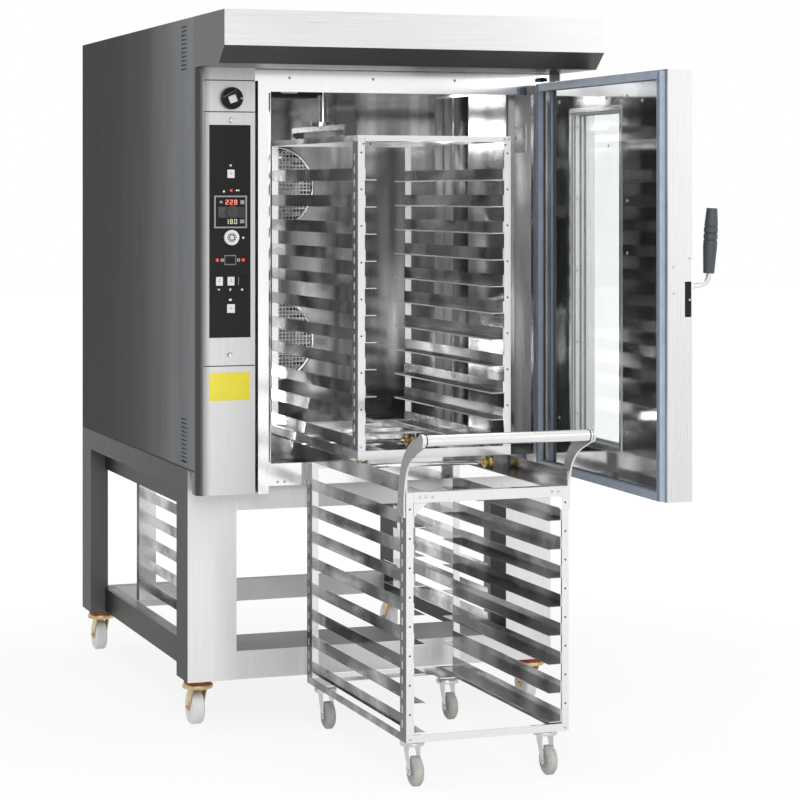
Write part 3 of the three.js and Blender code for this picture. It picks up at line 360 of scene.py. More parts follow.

# %% [markdown]
# ## Stainless steel
# Almost the whole oven is stainless steel, but it is not one grey. Brushed sheets carry fine scratches
# along the rolling direction; the racks are polished; the liner is polished and slightly wavy. Sheet that
# faces the front catches the light and sheet that faces sideways looks darker. That light and shade is
# painted into the colour: the recipe gives a grey for each way a face can look, lit for faces towards the
# front and mostly darker, as painted shade, for faces to the sides, on top and underneath.

# %% Painted light and shade: a grey for each direction
GRAIN = {"X": (6, 420, 420), "Y": (420, 6, 420), "Z": (420, 420, 6)}


# Paints light and shade by the way a face looks: a grey for the front, the sides, the top and below.
def painted_light_by_facing(tree, front, side, top, under):
    normal = axes(tree, coordinate(tree, "Normal"))
    sideways = math_node(tree, "ABSOLUTE", normal["X"])
    upward = math_node(tree, "ABSOLUTE", normal["Z"])
    tone = mixed(tree, sideways, front, side)
    tone = mixed(tree, upward, tone, top)
    if under is not None:
        downward = math_node(tree, "MAXIMUM", math_node(tree, "MULTIPLY", normal["Z"], -1), 0)
        tone = mixed(tree, downward, tone, under)
    return tone, sideways


# %% [markdown]
# Polished sheet mirrors its surroundings in broad patches. Noise with a few ramp stops draws them: soft
# clouds on the liner, and on the tray runners crisp steps, which lie on their side faces only.

# %% Patches
def patched(tree, tone, patch, spread, crisp, sideways):
    clouds = noise(tree, spread, 1.6, 1.5)
    if crisp:
        steps = [(0.0, 1 - patch), (0.43, 1 - patch * 0.5), (0.5, 1), (0.57, 1 + patch * 0.5)]
        return mixed(tree, sideways, tone, ramp(tree, clouds, steps, "CONSTANT"), "MULTIPLY")
    shade = ramp(tree, clouds, [(0.38, 1 - patch), (0.47, 1 - patch * 0.3), (0.62, 1 + patch * 0.6)])
    return mixed(tree, 1.0, tone, shade, "MULTIPLY")


# %% [markdown]
# Two places are darker than their sheet. The column's rounded left edge turns away from the light, and the
# stand's rear legs mirror the dark room behind the oven. A ramp across and one along the oven give both.

# %% Dark edge and dark rear
COLUMN_EDGE = (4, 46)  # where the column's rounding begins and ends, from the left
REAR_FADE = (350, 1250)  # where the stand's outer sides begin and end to darken, from the front
STAND_MIDDLE, BETWEEN_LEGS = 575, 512


def rounded_edge(tree, tone):
    place = axes(tree, coordinate(tree, "Object"))
    start, end = (HOME[0] + mm(x) for x in COLUMN_EDGE)
    rounding = map_range(tree, place["X"], start, end, kind="SMOOTHSTEP")
    return mixed(tree, rounding, (0.06, 0.06, 0.062), tone)


def dark_rear(tree, tone, dim):
    place = axes(tree, coordinate(tree, "Object"))
    start, end = (HOME[1] + mm(y) for y in REAR_FADE)
    depth = map_range(tree, place["Y"], start, end, 1.0, dim)
    from_middle = math_node(tree, "SUBTRACT", place["X"], HOME[0] + mm(STAND_MIDDLE))
    between = math_node(tree, "LESS_THAN", math_node(tree, "ABSOLUTE", from_middle), mm(BETWEEN_LEGS))
    kept = math_node(tree, "MAXIMUM", depth, between)
    return mixed(tree, kept, (0.02, 0.02, 0.02), tone)


# %% [markdown]
# The recipe puts these together. The brushing is one stretched noise that shades the colour, varies the
# roughness and gives a shallow relief; thin liner sheet also gets slow dents under it.

# %% The steel recipe
def steel(
    name,
    greys,
    grain="Z",
    roughness=0.3,
    streak=0.1,
    metal=1.0,
    tint=0.0,
    under=None,
    patch=0.0,
    spread=(2.2, 2.2, 0.7),
    crisp=False,
    waves=0.0,
    sheen=0.25,
    edge=False,
    dim=1.0,
):
    """greys are painted light and shade for faces towards the front, the sides and the top; streak is the
    depth of the brushing.
    """
    tree, shader = new_material(name)
    brushing = noise(tree, GRAIN[grain], 1.0)
    front, side, top = greys
    tone, sideways = painted_light_by_facing(tree, grey(front), grey(side, tint), grey(top), under)
    streaks = ramp(tree, brushing, [(0.3, 1 - streak), (0.7, 1 + streak * 0.4)])
    tone = mixed(tree, 1.0, tone, streaks, "MULTIPLY")
    if patch:
        tone = patched(tree, tone, patch, spread, crisp, sideways)
    if edge:
        tone = rounded_edge(tree, tone)
    if dim < 1:
        tone = dark_rear(tree, tone, dim)
    rough = math_node(tree, "MULTIPLY_ADD", brushing, roughness * 0.6, roughness * 0.7)
    dents = relief(tree, noise(tree, (5, 5, 1.4), 1.0, 1.0), waves, 0.01) if waves else None
    dress(tree, shader, tone, metal, sheen, rough, relief(tree, brushing, 0.06, 0.0004, dents))


# Each steel's three greys are painted light and shade for faces towards the front, the sides and the top;
# front_steel's last grey is painted shade on faces that look down.
steel("front_steel", (0.65, 0.03, 0.3), "X", 0.32, 0.08, 0.7, 0.03, grey(0.035))
steel("frame_steel", (0.93, 0.5, 0.8), "Z", 0.12, 0.03)
steel("column_steel", (0.56, 0.05, 0.6), "Z", 0.32, 0.08, 0.7, 0.02, edge=True)
steel("stand_steel", (0.82, 0.013, 0.3), "Z", 0.35, 0.06, 0.3, 0.05, patch=0.15, sheen=0.06, dim=0.16)
steel("right_side", (0.75, 0.2, 0.3), "Z", 0.35, 0.08, 0.5, 0.02, patch=0.15)
steel("door_steel", (0.66, 0.5, 0.5), "Z", 0.3, 0.04, 0.6)
print(len(FINISH), "outer steels")

# %% [markdown]
# The inner parts are more polished: the liner and the door's inner panel are wavy mirrors, the tray runners
# show crisp patches, and the trim, the rotor and the push tube each have their own brightness.

# %% Polished steels
RUNNER_PATCHES = (1.2, 3.4, 5.0)
steel("rack_steel", (0.78, 0.62, 0.7), "Y", 0.12, 0.05, 0.85, patch=0.6, spread=RUNNER_PATCHES, crisp=True)
steel("trolley_steel", (0.8, 0.27, 0.5), "Y", 0.12, 0.05, 0.85, patch=0.65, spread=RUNNER_PATCHES, crisp=True)
# The liner's under grey is painted shade on faces that look down.
liner_look = {"under": grey(0.03), "patch": 0.5, "spread": (2.6, 3.6, 1.0), "waves": 0.25}
steel("liner_steel", (0.42, 0.6, 0.3), "Z", 0.08, 0.05, 0.9, **liner_look)
door_look = {"patch": 0.25, "spread": (1.5, 3.0, 1.4), "waves": 0.18}
steel("door_liner", (0.5, 0.32, 0.4), "Z", 0.05, 0.04, 0.95, 0.02, **door_look)
steel("chrome", (0.85, 0.62, 0.8), "Z", 0.12, 0.04, 0.9, patch=0.3)
steel("flange_steel", (0.7, 0.1, 0.5), "Z", 0.2, 0.05, 0.8, 0.02)
steel("strip_steel", (0.6, 0.68, 0.6), "Z", 0.3, 0.06, 0.35, patch=0.2)
steel("rotor_steel", (0.1, 0.3, 0.08), "Y", 0.25, 0.05, 0.8)
steel("tube_steel", (0.74, 0.3, 0.8), "X", 0.25, 0.05, 0.8)
print(len(FINISH), "steels in all")

# %% [markdown]
# ## The cabinet's side sheet
# The large side sheet runs from dark at the back to lighter at the front, with faint vertical smudges from
# its brushing. That slope is painted light and shade: a lamp alone would not give so slow a change, so a ramp
# along Y on Object coordinates draws it. A dark line at its foot is painted shade in the gap between cabinet
# and stand.

# %% Side sheet finish
SHEET_Y = (-76, 1408)
SHEET_FOOT = (762, 766)
# The slope paints light and shade along the sheet: dark at the back, lighter at the front.
SHEET_SLOPE = [
    (0.0, grey(0.22, 0.05)),
    (0.17, grey(0.18, 0.05)),
    (0.4, grey(0.055, 0.07)),
    (0.7, grey(0.018, 0.08)),
    (1.0, grey(0.01, 0.08)),
]


def side_sheet():
    tree, shader = new_material("side_sheet")
    brushing = noise(tree, GRAIN["Z"], 1.0)
    place = axes(tree, coordinate(tree, "Object"))
    start, end = (HOME[1] + mm(y) for y in SHEET_Y)
    slope = ramp(tree, map_range(tree, place["Y"], start, end), SHEET_SLOPE)
    tone = mixed(tree, 1.0, slope, ramp(tree, brushing, [(0.3, 0.9), (0.7, 1.05)]), "MULTIPLY")
    clouds = noise(tree, (0.4, 3.0, 0.5), 2.0, 2.0)
    tone = mixed(tree, 1.0, tone, ramp(tree, clouds, [(0.35, 0.85), (0.65, 1.15)]), "MULTIPLY")
    # Below its foot the sheet is painted near black: painted shade in the gap between cabinet and stand.
    above = map_range(tree, place["Z"], mm(SHEET_FOOT[0]), mm(SHEET_FOOT[1]))
    tone = mixed(tree, above, grey(0.01), tone)
    dress(tree, shader, tone, 0.0, 0.06, math_node(tree, "MULTIPLY_ADD", brushing, 0.2, 0.4))


side_sheet()
print("side sheet runs over", SHEET_Y[1] - SHEET_Y[0], "mm")

# %% [markdown]
# ## Plastics, rubber, zinc and brass
# These need less: a colour with a slight mottling, and a roughness that varies a little, so that no surface
# is one flat tone. A table of values is enough, because they differ only in numbers.

# %% Mottled finishes
def coloured(name, colour, roughness=0.45, metal=0.0, mottle=0.08, scale=60.0, bump=0.0, sheen=0.5):
    tree, shader = new_material(name)
    grain = noise(tree, (1, 1, 1), scale)
    shade = ramp(tree, grain, [(0.3, 1 - mottle), (0.7, 1 + mottle * 0.5)])
    tone = mixed(tree, 1.0, colour, shade, "MULTIPLY")
    rough = math_node(tree, "MULTIPLY_ADD", grain, 0.12, roughness - 0.06)
    normal = relief(tree, grain, bump, 0.0005) if bump else None
    dress(tree, shader, tone, metal, sheen, rough, normal)
    return shader


MOTTLED = {  # colour, roughness, metal, depth and scale of the mottling, relief, sheen
    "yellow_zinc": ((0.66, 0.52, 0.26), 0.4, 0.8, 0.3, 35),
    "bright_zinc": ((0.62, 0.63, 0.64), 0.35, 1.0, 0.2, 45),
    "brass": ((0.70, 0.52, 0.24), 0.3, 1.0, 0.15, 50),
    "cast_iron": ((0.10, 0.11, 0.12), 0.6, 0.3, 0.25, 90, 0.3),
    "nylon": ((0.93, 0.94, 0.96), 0.45, 0.0, 0.06, 40),
    "grey_rubber": ((0.50, 0.50, 0.47), 0.7, 0.0, 0.12, 70, 0.15),
    "grip_plastic": ((0.045, 0.052, 0.062), 0.42, 0.0, 0.15, 120, 0.1),
    "seal_silicone": ((0.35, 0.42, 0.51), 0.35, 0.0, 0.12, 25),
    "seal_dark": ((0.16, 0.20, 0.25), 0.35, 0.0, 0.12, 25),
    "seal_rail": ((0.86, 0.86, 0.80), 0.3, 0.0, 0.15, 25),
    "black_sheet": ((0.020, 0.020, 0.020), 0.3, 0.0, 0.1, 30, 0.0, 0.1),
    "black_plastic": ((0.012, 0.012, 0.013), 0.4, 0.0, 0.1, 80, 0.0, 0.15),
    "grey_plastic": ((0.055, 0.055, 0.058), 0.4, 0.0, 0.1, 80, 0.0, 0.3),
    "pale_grey": ((0.36, 0.35, 0.37), 0.45, 0.0, 0.05, 60),
    "white_cap": ((0.84, 0.84, 0.82), 0.35, 0.0, 0.04, 60),
    "yellow_film": ((0.90, 0.78, 0.05), 0.45, 0.0, 0.05, 12),
    "red_paint": ((0.55, 0.03, 0.02), 0.5, 0.0, 0.1, 60),
    "glazing_green": ((0.42, 0.47, 0.44), 0.35, 0.3, 0.12, 30),
    "screw_steel": ((0.50, 0.50, 0.51), 0.3, 1.0, 0.1, 80),
    "slot_light": ((0.72, 0.73, 0.73), 0.5, 0.0, 0.06, 80),
    "hole_dark": ((0.05, 0.05, 0.05), 0.7, 0.0, 0.1, 80),
    "louvre_shade": ((0.045, 0.048, 0.05), 0.6, 0.0, 0.15, 40),
}
for name, values in MOTTLED.items():
    coloured(name, *values)
print(len(MOTTLED), "mottled finishes")

# %% [markdown]
# Lamps and lit figures are the same plastic with a weak glow of their own colour.

# %% Glowing finishes
def glowing(name, colour, strength):
    shader = coloured(name, colour, 0.4, 0.0, 0.12, 150)
    shader.inputs["Emission Color"].default_value = (*colour, 1)
    shader.inputs["Emission Strength"].default_value = strength


glowing("red_light", (0.8, 0.06, 0.05), 0.5)
glowing("red_digit", (0.95, 0.30, 0.26), 0.55)
glowing("green_digit", (0.62, 0.66, 0.46), 0.4)
print(len(FINISH), "finishes so far")

# %% [markdown]
# The door's panes are clear glass: a transmission shader with a faint cool haze. The pane's thickness is in
# the solid already, so the shader bends light only a little.

# %% Door glass
def clear_glass():
    tree, shader = new_material("clear_glass")
    shader.inputs["Transmission Weight"].default_value = 1.0
    shader.inputs["IOR"].default_value = 1.1
    film = noise(tree, (3, 3, 3), 2.0)
    haze = ramp(tree, film, [(0.3, (0.88, 0.91, 0.92)), (0.7, (0.94, 0.96, 0.96))])
    tree.links.new(haze, shader.inputs["Base Color"])
    tree.links.new(math_node(tree, "MULTIPLY", film, 0.04), shader.inputs["Roughness"])


clear_glass()
print(len(FINISH), "finishes in all")

# %% [markdown]
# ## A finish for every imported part
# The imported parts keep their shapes. Each gets one finish in its material slot. The table is read the other
# way round, from finish to parts, because many parts share one; castors and the rest go by their names.

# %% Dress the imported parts
WORN_BY = {
    "stand_steel": ["stand_frame"],
    "rack_steel": ["stand_runners_left", "stand_runners_right", "fan_upper", "fan_lower"],
    "side_sheet": ["cabinet_side_left"],
    "right_side": ["cabinet_side_right", "cabinet_cover"],
    "front_steel": ["hood"],
    "frame_steel": ["front_frame"],
    "column_steel": ["column_housing", "control_plate"],
    "black_sheet": ["control_glass"],
    "liner_steel": ["chamber_shell", "air_baffle"],
    "cast_iron": ["fan_motors", "rotor_gearmotor"],
    "rotor_steel": ["rotor"],
    "door_steel": ["door_shell"],
    "door_liner": ["door_inner_panel"],
    "clear_glass": ["door_glass"],
    "seal_silicone": ["door_gasket"],
    "tube_steel": ["door_handle_rod", "trolley_handle"],
    "grip_plastic": ["door_handle_grip"],
    "brass": ["rack_wheelset_front", "rack_wheelset_rear"],
    "white_cap": ["button_light", "button_left", "button_middle", "button_start", "steam_dial"],
    "black_plastic": ["button_right", "rocker_switch"],
    "grey_plastic": ["vent_knob", "controller_knob"],
}
NODE_FINISH = {part: finish for finish, parts in WORN_BY.items() for part in parts}


def finish_of(part):
    on_trolley = part.startswith("trolley")
    if part in NODE_FINISH:
        return NODE_FINISH[part]
    if "castor" not in part:
        return "trolley_steel" if on_trolley else "rack_steel"
    if part.endswith("wheel"):
        return "grey_rubber" if on_trolley else "nylon"
    return "bright_zinc" if on_trolley else "yellow_zinc"


for part, node in nodes.items():
    node.data.materials.clear()
    node.data.materials.append(FINISH[finish_of(part)])
print("dressed", len(nodes), "packed parts")

# %% [markdown]
# ## Handing a new piece over
# Every new piece gets its finish and the moving body it rides on.

# %% Helper for new pieces
def hand_over(piece, finish, body):
    piece.data.materials.clear()
    piece.data.materials.append(FINISH[finish])
    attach(piece, body)
    return piece


def hand_over_all(name, parts, finish, body):
    return hand_over(joined(name, parts), finish, body)


# %% [markdown]
# ## Screws
# A pan head screw is a short drum whose rim is rounded and whose driver recess is pushed in. It is modelled
# once for each direction it can look, then copied to every place.

# %% One screw, many places
def screw_pattern(name, direction, radius=4.0, height=2.2, sides=16, socket=True):
    axis = "XYZ"[max(range(3), key=lambda i: abs(direction[i]))]
    head = drum(name, (0, 0, 0), radius, height, axis, sides)
    middle = Vector([d * height / 2 for d in direction])
    head.data.transform(Matrix.Translation(middle / 1000))
    if socket:
        sink(head, direction, radius * 0.5, -height * 0.45)
    return soften(head, 0.5, 2, 50)


def screws(name, direction, places, finish, body, slot_name, **shape):
    heads = repeat(screw_pattern(name, direction, **shape), name, places)
    return hand_over(heads, finish, body)


# %% Jamb strip and frame screws
FRAME_Y = -35  # front face of the frame round the opening
jamb_strip = soften(block("jamb_strip", (220, FRAME_Y - 1.2, 776), (240, FRAME_Y - 0.1, 1860)), 0.4, 2)
hand_over(jamb_strip, "liner_steel", "oven")
sill_places = [(x, FRAME_Y, 718) for x in (263, 284, 1010)]
lintel_places = [(x, FRAME_Y, 1905) for x in (300, 560, 820)]
sill_screws = screws("sill_screws", FRONT, sill_places + lintel_places, "screw_steel", "oven", "front_steel")
print(len(sill_screws.data.polygons), "faces in the frame's screws")

# %% [markdown]
# ## The control plate's two locks
# Above and below the black panel the plate is held by a round quarter-turn lock. A drum, inset and pushed
# in, leaves the ring around its middle.

# %% Plate locks
PLATE_Y, GLASS_Y = -102.6, -104.4  # front faces of the control plate and of the black panel on it
for name, x, z in (("lock_upper", 101, 1777), ("lock_lower", 97, 1100)):
    lock = sink(drum(name, (x, PLATE_Y - 1, z), 8, 2, "Y", 32), FRONT, 2.2, -1.0)
    hand_over(soften(lock, 0.3, 1, 50), "screw_steel", "oven")
print("two locks on the plate")

# %% [markdown]
# ## The vent valve's knob
# A thick black ring with a pale, rounded square boss turned a little, and a raised bar across its upper
# left. The ring is a drum that is inset and pushed in; a small notch at its right edge is the pointer.

# %% Vent knob ring and pointer
VENT = (103, -100.6, 1840)


def on_vent(low, high):
    return [tuple(centre + step for centre, step in zip(VENT, steps)) for steps in (low, high)]


knob_ring = drum("vent_knob_ring", on_vent((0, -8, 0), (0, 0, 0))[0], 32, 16, "Y", 48)
soften(sink(knob_ring, FRONT, 7, -2.5), 1.4, 3, 40)
hand_over(knob_ring, "black_plastic", "vent_knob")
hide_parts("vent_knob")
pointer = soften(block("vent_knob_pointer", *on_vent((24, -17, -3), (31, -15.5, 3))), 0.6, 2)
hand_over(pointer, "pale_grey", "vent_knob")

# %% Vent knob bar and boss
bar = turn(block("vent_knob_bar", *on_vent((-24, -17.5, 13), (24, -13, 19))), spot(*VENT), -32, "Y")
hand_over(soften(bar, 1.2, 2), "grey_plastic", "vent_knob")
boss = turn(block("vent_knob_boss", *on_vent((-12, -19, -13), (12, -13, 9))), spot(*VENT), -20, "Y")
hand_over(soften(boss, 3.5, 4), "white_cap", "vent_knob")
print("vent knob on", VENT)

# %% [markdown]
# ## Seams of the column
# The column is folded from sheets that leave three narrow joints. In each joint lies a dark strip, just
# behind the steel's face, that also turns the rounded left corner. It starts as one block, whose left end
# is extruded round the corner in four steps.

# %% Column seams
seams = []
for seam_z in (1067, 1801, 1892):
    strip = block("column_seams", (26, -100.1, seam_z - 1.5), (174, -99.4, seam_z + 1.5))
    choose(strip, facing(LEFT))
    for step_x, step_y in ((-7, 1.2), (-6, 3.0), (-5, 5.5), (-3, 7.0)):
        extrude((mm(step_x), mm(step_y), 0))
    done()
    seams.append(strip)
hand_over_all("column_seams", seams, "hole_dark", "oven")
print(len(seams), "seams")

# %% [markdown]
# ## The controller
# A square instrument sits on the panel: a raised frame, a dark screen and a grey band behind its knob. The
# frame is a block whose front is inset and pushed back, so its rim stands up as on the real one.

# %% Controller frame and screen
SCREEN_Y = GLASS_Y - 3  # the instrument's dark face, behind its rim
controller = block("controller_frame", (50, GLASS_Y - 6, 1465), (148, GLASS_Y - 0.2, 1559))
hand_over(soften(sink(controller, FRONT, 4, -3), 0.8, 2), "pale_grey", "oven")
screen = block("controller_screen", (55, SCREEN_Y - 1.2, 1470), (143, SCREEN_Y + 0.3, 1554))
hand_over(sink(screen, FRONT, 1.2, -0.4), "black_plastic", "oven")
band = soften(block("controller_band", (62, SCREEN_Y - 2.2, 1495), (141, SCREEN_Y - 0.9, 1527)), 0.6, 2)
hand_over(band, "grey_plastic", "oven")

# %% [markdown]
# ## Seven-segment figures
# Each figure is made of up to seven small bars, so a table of which bars are lit draws any number.

# %% Figures
SEGMENTS = {"0": "abcdef", "1": "bc", "2": "abged", "8": "abcdefg"}
WIDE, HIGH, STROKE, GAP = 8.5, 14.0, 2.0, 4.5
BARS = {
    "a": (0, WIDE, HIGH - STROKE, HIGH),
    "b": (WIDE - STROKE, WIDE, HIGH / 2, HIGH),
    "c": (WIDE - STROKE, WIDE, 0, HIGH / 2),
    "d": (0, WIDE, 0, STROKE),
    "e": (0, STROKE, 0, HIGH / 2),
    "f": (0, STROKE, HIGH / 2, HIGH),
    "g": (0, WIDE, (HIGH - STROKE) / 2, (HIGH + STROKE) / 2),
}


def figure(text, x, z, finish, name):
    lit = []
    for place, digit in enumerate(text):
        left = x + place * (WIDE + GAP)
        for x0, x1, z0, z1 in (BARS[key] for key in SEGMENTS[digit]):
            bar = block(name, (left + x0, SCREEN_Y - 1.7, z + z0), (left + x1, SCREEN_Y - 0.8, z + z1))
            lit.append(soften(bar, 0.25, 1))
    print(name, "has", len(lit), "bars")
    hand_over_all(name, lit, finish, "oven")


figure("228", 84, 1533, "red_digit", "figures_upper")
figure("180", 84, 1477, "green_digit", "figures_lower")

# %% [markdown]
# Small square fields stand beside the figures, as on any such instrument.

# %% Screen fields
fields = [
    soften(block("screen_fields", (x0, SCREEN_Y - 1.8, z0), (x1, SCREEN_Y - 0.8, z1)), 0.4, 1)
    for x0, x1, z0, z1 in ((128, 140, 1534, 1546), (127, 140, 1479, 1490), (66, 75, 1537, 1544))
]
hand_over_all("screen_fields", fields, "pale_grey", "oven")

# %% [markdown]
# ## The controller's knob and the white dial
# The knob is a drum with a rounded face and a dished front. The dial is a flat white disc with twelve black
# spokes set in a ring around its hub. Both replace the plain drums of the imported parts.

# %% Knob and dial face
DIAL = (101, GLASS_Y - 7, 1438)
turner = sink(drum("controller_turner", (102, GLASS_Y - 9, 1513), 18, 12, "Y", 40), FRONT, 2.5, -1.0)
hand_over(soften(turner, 1.2, 3, 40), "grey_plastic", "controller_knob")
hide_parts("controller_knob")
dial_face = sink(drum("dial_face", DIAL, 22, 10, "Y", 48), FRONT, 3, -0.8)
hand_over(soften(dial_face, 1.0, 3, 40), "white_cap", "steam_dial")
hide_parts("steam_dial")

# %% Dial spokes
spokes = []
spoke_low = (DIAL[0] - 1.3, DIAL[1] - 5.2, DIAL[2] + 6)
spoke_high = (DIAL[0] + 1.3, DIAL[1] - 3.8, DIAL[2] + 14)
for i in range(12):
    spoke = turn(block("dial_spokes", spoke_low, spoke_high), spot(*DIAL), i * 30, "Y")
    spokes.append(soften(spoke, 0.4, 1))
hand_over_all("dial_spokes", spokes, "black_plastic", "steam_dial")
print(len(spokes), "spokes on the dial")

# %% [markdown]
# ## Button surrounds
# Each push button sits in a thin black frame. A block is inset on its front and back, and bridging the two
# inner faces opens it, which is quicker and cleaner than cutting one block with another.

# %% Frames around the buttons
CAPS = {  # middle X and Z, width and height of each cap
    "button_light": (100.5, 1622, 21, 24),
    "button_left": (66, 1312, 20, 25),
    "button_middle": (100.5, 1312, 20, 25),
    "button_right": (135, 1312, 20, 25),
    "button_start": (100.5, 1233, 23, 25),
}
PLAY = 0.6  # gap between a cap and its frame


def surround(name, x, z, width, height, margin=2.0):
    half_x, half_z = width / 2 + margin + PLAY, height / 2 + margin + PLAY
    rim = block(name, (x - half_x, GLASS_Y - 1.4, z - half_z), (x + half_x, GLASS_Y - 0.1, z + half_z))
    return soften(open_through(rim, 1, margin), 0.3, 1)


button_frames = [surround("button_frames", *cap) for cap in CAPS.values()]
hand_over_all("button_frames", button_frames, "black_plastic", "oven")
hand_over(surround("rocker_frame", 99, 1373, 29.5, 24, 1.6), "pale_grey", "oven")
edge_strip = block("black_button_edge", (122.6, GLASS_Y - 1.8, 1300), (124.4, GLASS_Y - 0.1, 1324))
hand_over(soften(edge_strip, 0.3, 1), "pale_grey", "oven")
print(len(button_frames), "button frames")

# %% [markdown]
# Each white cap carries a small printed figure: a short grey bar with a dot, a fraction of a millimetre
# proud.

# %% Figures on the caps
CAP_FACE = -108.0
for cap_name in ("button_light", "button_left", "button_middle", "button_start"):
    x, z = CAPS[cap_name][:2]
    name = cap_name + "_mark"
    mark = soften(block(name, (x - 4, CAP_FACE - 0.25, z - 1.2), (x + 4, CAP_FACE + 0.3, z + 1.2)), 0.2, 1)
    dot = soften(drum(name + "_dot", (x, CAP_FACE, z + 5), 1.6, 0.5, "Y", 16), 0.15, 1, 50)
    hand_over_all(name, [mark, dot], "pale_grey", cap_name)

# %% [markdown]
# ## Symbols and lamps on the panel
# The symbols are simple printed shapes: drops, arrows and rings. Each is an outline extruded by half a
# millimetre. The rocker has a red lamp and a white hexagon ring on both sides.

# %% Symbols
def token(name, points, depth=0.5):
    piece = outline(name, [(x, GLASS_Y - 0.1, z) for x, z in points], "NGON")
    choose(piece, lambda centre, normal: True)
    extrude((0, -mm(depth), 0))
    bpy.ops.mesh.select_all(action="SELECT")
    bpy.ops.mesh.normals_make_consistent(inside=False)
    done()
    return piece


def round_points(x, z, radius, count=14, stretch=1.0):
    angles = [2 * math.pi * i / count for i in range(count)]
    return [(x + radius * math.sin(angle), z + radius * stretch * math.cos(angle)) for angle in angles]


PALE_SIGNS = [
    round_points(80, 1571, 3, 12, 1.2),
    round_points(118, 1574, 2.6),
    [(121, 1575), (126, 1577), (126, 1571), (121, 1573)],
    round_points(138, 1437, 3.4),
    round_points(99, 1258, 4.5, 12, 0.8),
    [(60, 1290), (68, 1290), (66, 1284)],
    [(95, 1290), (103, 1290), (99, 1283)],
    [(129, 1287), (137, 1291), (137, 1283)],
    [(95, 1648), (104, 1649), (101, 1642)],
]
hand_over(token("red_marks", [(96, 1574), (105, 1579), (105, 1569)]), "red_light", "oven")
pale_marks = [token("pale_marks", points) for points in PALE_SIGNS]
hand_over_all("pale_marks", pale_marks, "white_cap", "oven")

# %% Lamps beside the rocker
lamp_rings = []
for x in (75, 124):
    nut = open_through(drum("lamp_rings", (x, GLASS_Y - 0.7, 1373), 5.0, 1.2, "Y", 6), 1, 1.6)
    lamp_rings.append(soften(nut, 0.2, 1, 50))
hand_over_all("lamp_rings", lamp_rings, "white_cap", "oven")
red_lamps = []
for x in (60, 138):
    lamp = block("red_lamps", (x - 4.2, GLASS_Y - 2.0, 1368.5), (x + 4.2, GLASS_Y - 0.1, 1377.5))
    red_lamps.append(soften(lamp, 1.2, 3))
hand_over_all("red_lamps", red_lamps, "red_light", "oven")
print(len(PALE_SIGNS) + 1, "symbols and", len(red_lamps), "lamps")

# %% [markdown]
# ## The yellow plate
# A plain yellow rectangle is fixed to the column's lower panel: a thin plate with softened edges, left
# bare.

# %% Yellow plate
yellow_plate = soften(block("yellow_plate", (38, -101.1, 967), (158, -100.4, 1048)), 0.3, 2)
hand_over(yellow_plate, "yellow_film", "oven")

# %% [markdown]
# ## Punched holes and slots on the racks
# The angle posts are punched: round holes at a wide pitch on the narrow front flange, long slots on the
# wide side flange. A hole shows as a dark disc with a rim, which paints the shade seen through it, and a slot
# as a pale rounded bar, painted light because there the light behind the post shines through. The wide
# flange also gets a thin face painted dark, which is painted shade on the side of the post. One of each is
# modelled and copied up the posts; cutting hundreds of real holes into the imported parts would change them.

# %% Helpers for punched posts
# The dark face is painted shade on the post's wide side flange.
FLANGE = 46  # width of the dark face


# A dark disc paints the shade seen through a punched hole.
def holes(name, places, body, radius=2.8):
    pattern = screw_pattern(name, FRONT, radius, 0.5, 12, socket=False)
    return hand_over(repeat(pattern, name, places), "hole_dark", body)


def punched_flange(name, x, y, bottom, top, pitch, body):
    """A thin face painted dark, as painted shade, on the post's wide flange, with a column of long slots on
    it.
    """
    face = block(name, (x - 0.2, y, bottom), (x, y + FLANGE, top))
    hand_over(soften(face, 0.05, 1), "flange_steel", body)
    low, high = (x - 0.45, y + 26, bottom + 15), (x - 0.1, y + 34, bottom + 35)
    slot = soften(block(name + "_slots", low, high), (high[0] - low[0]) / 3, 1)
    offsets = [(0, 0, pitch * k) for k in range(int((top - bottom - 30) / pitch))]
    hand_over(repeat(slot, name + "_slots", offsets), "slot_light", body)
    return len(offsets)


# %% Punched posts of the rack and the trolley
RACK_FACE, RACK_BOTTOM, RACK_TOP, RACK_SLOTS = -493, 850, 1711, 36
TROLLEY_FACE, TROLLEY_BOTTOM, TROLLEY_TOP, TROLLEY_SLOTS = -893, 145, 777, 38.5
post_holes = [(x, RACK_FACE, RACK_TOP - 32 - 102 * k) for k in range(8) for x in (366, 804)]
bar_holes = [(x, RACK_FACE, RACK_TOP - 8) for x in (372, 392, 778, 798)]
holes("rack_front_holes", post_holes + bar_holes, "rack")
post_holes = [(x, TROLLEY_FACE, TROLLEY_TOP - 40 - 77 * k) for k in range(8) for x in (363, 807)]
holes("trolley_front_holes", post_holes, "trolley")
POSTS = {  # X and Y on the rack, X and Y on the trolley, how far the trolley's face ends below its top
    "front": (356, -492.5, 353, -892.5, 6),
    "rear": (356, 330, 353, -85, 6),
    "inner": (812, -492.5, 815, -892.5, 20),
    "inner_rear": (812, 330, 815, -85, 20),
}
for name, (x, y, trolley_x, trolley_y, cut) in POSTS.items():
    count = punched_flange("rack_flange_" + name, x, y, RACK_BOTTOM, RACK_TOP, RACK_SLOTS, "rack")
    print("rack post", name, count, "slots")
    place = (trolley_x, trolley_y, TROLLEY_BOTTOM, TROLLEY_TOP - cut)
    count = punched_flange("trolley_flange_" + name, *place, TROLLEY_SLOTS, "trolley")
    print("trolley post", name, count, "slots")

# %% [markdown]
# ## Bolts that hold the racks together
# Hexagonal heads stand on the front top bars, at the corner plates and on the arms of the push handle. The
# screw helper makes them too, with six sides and no recess.

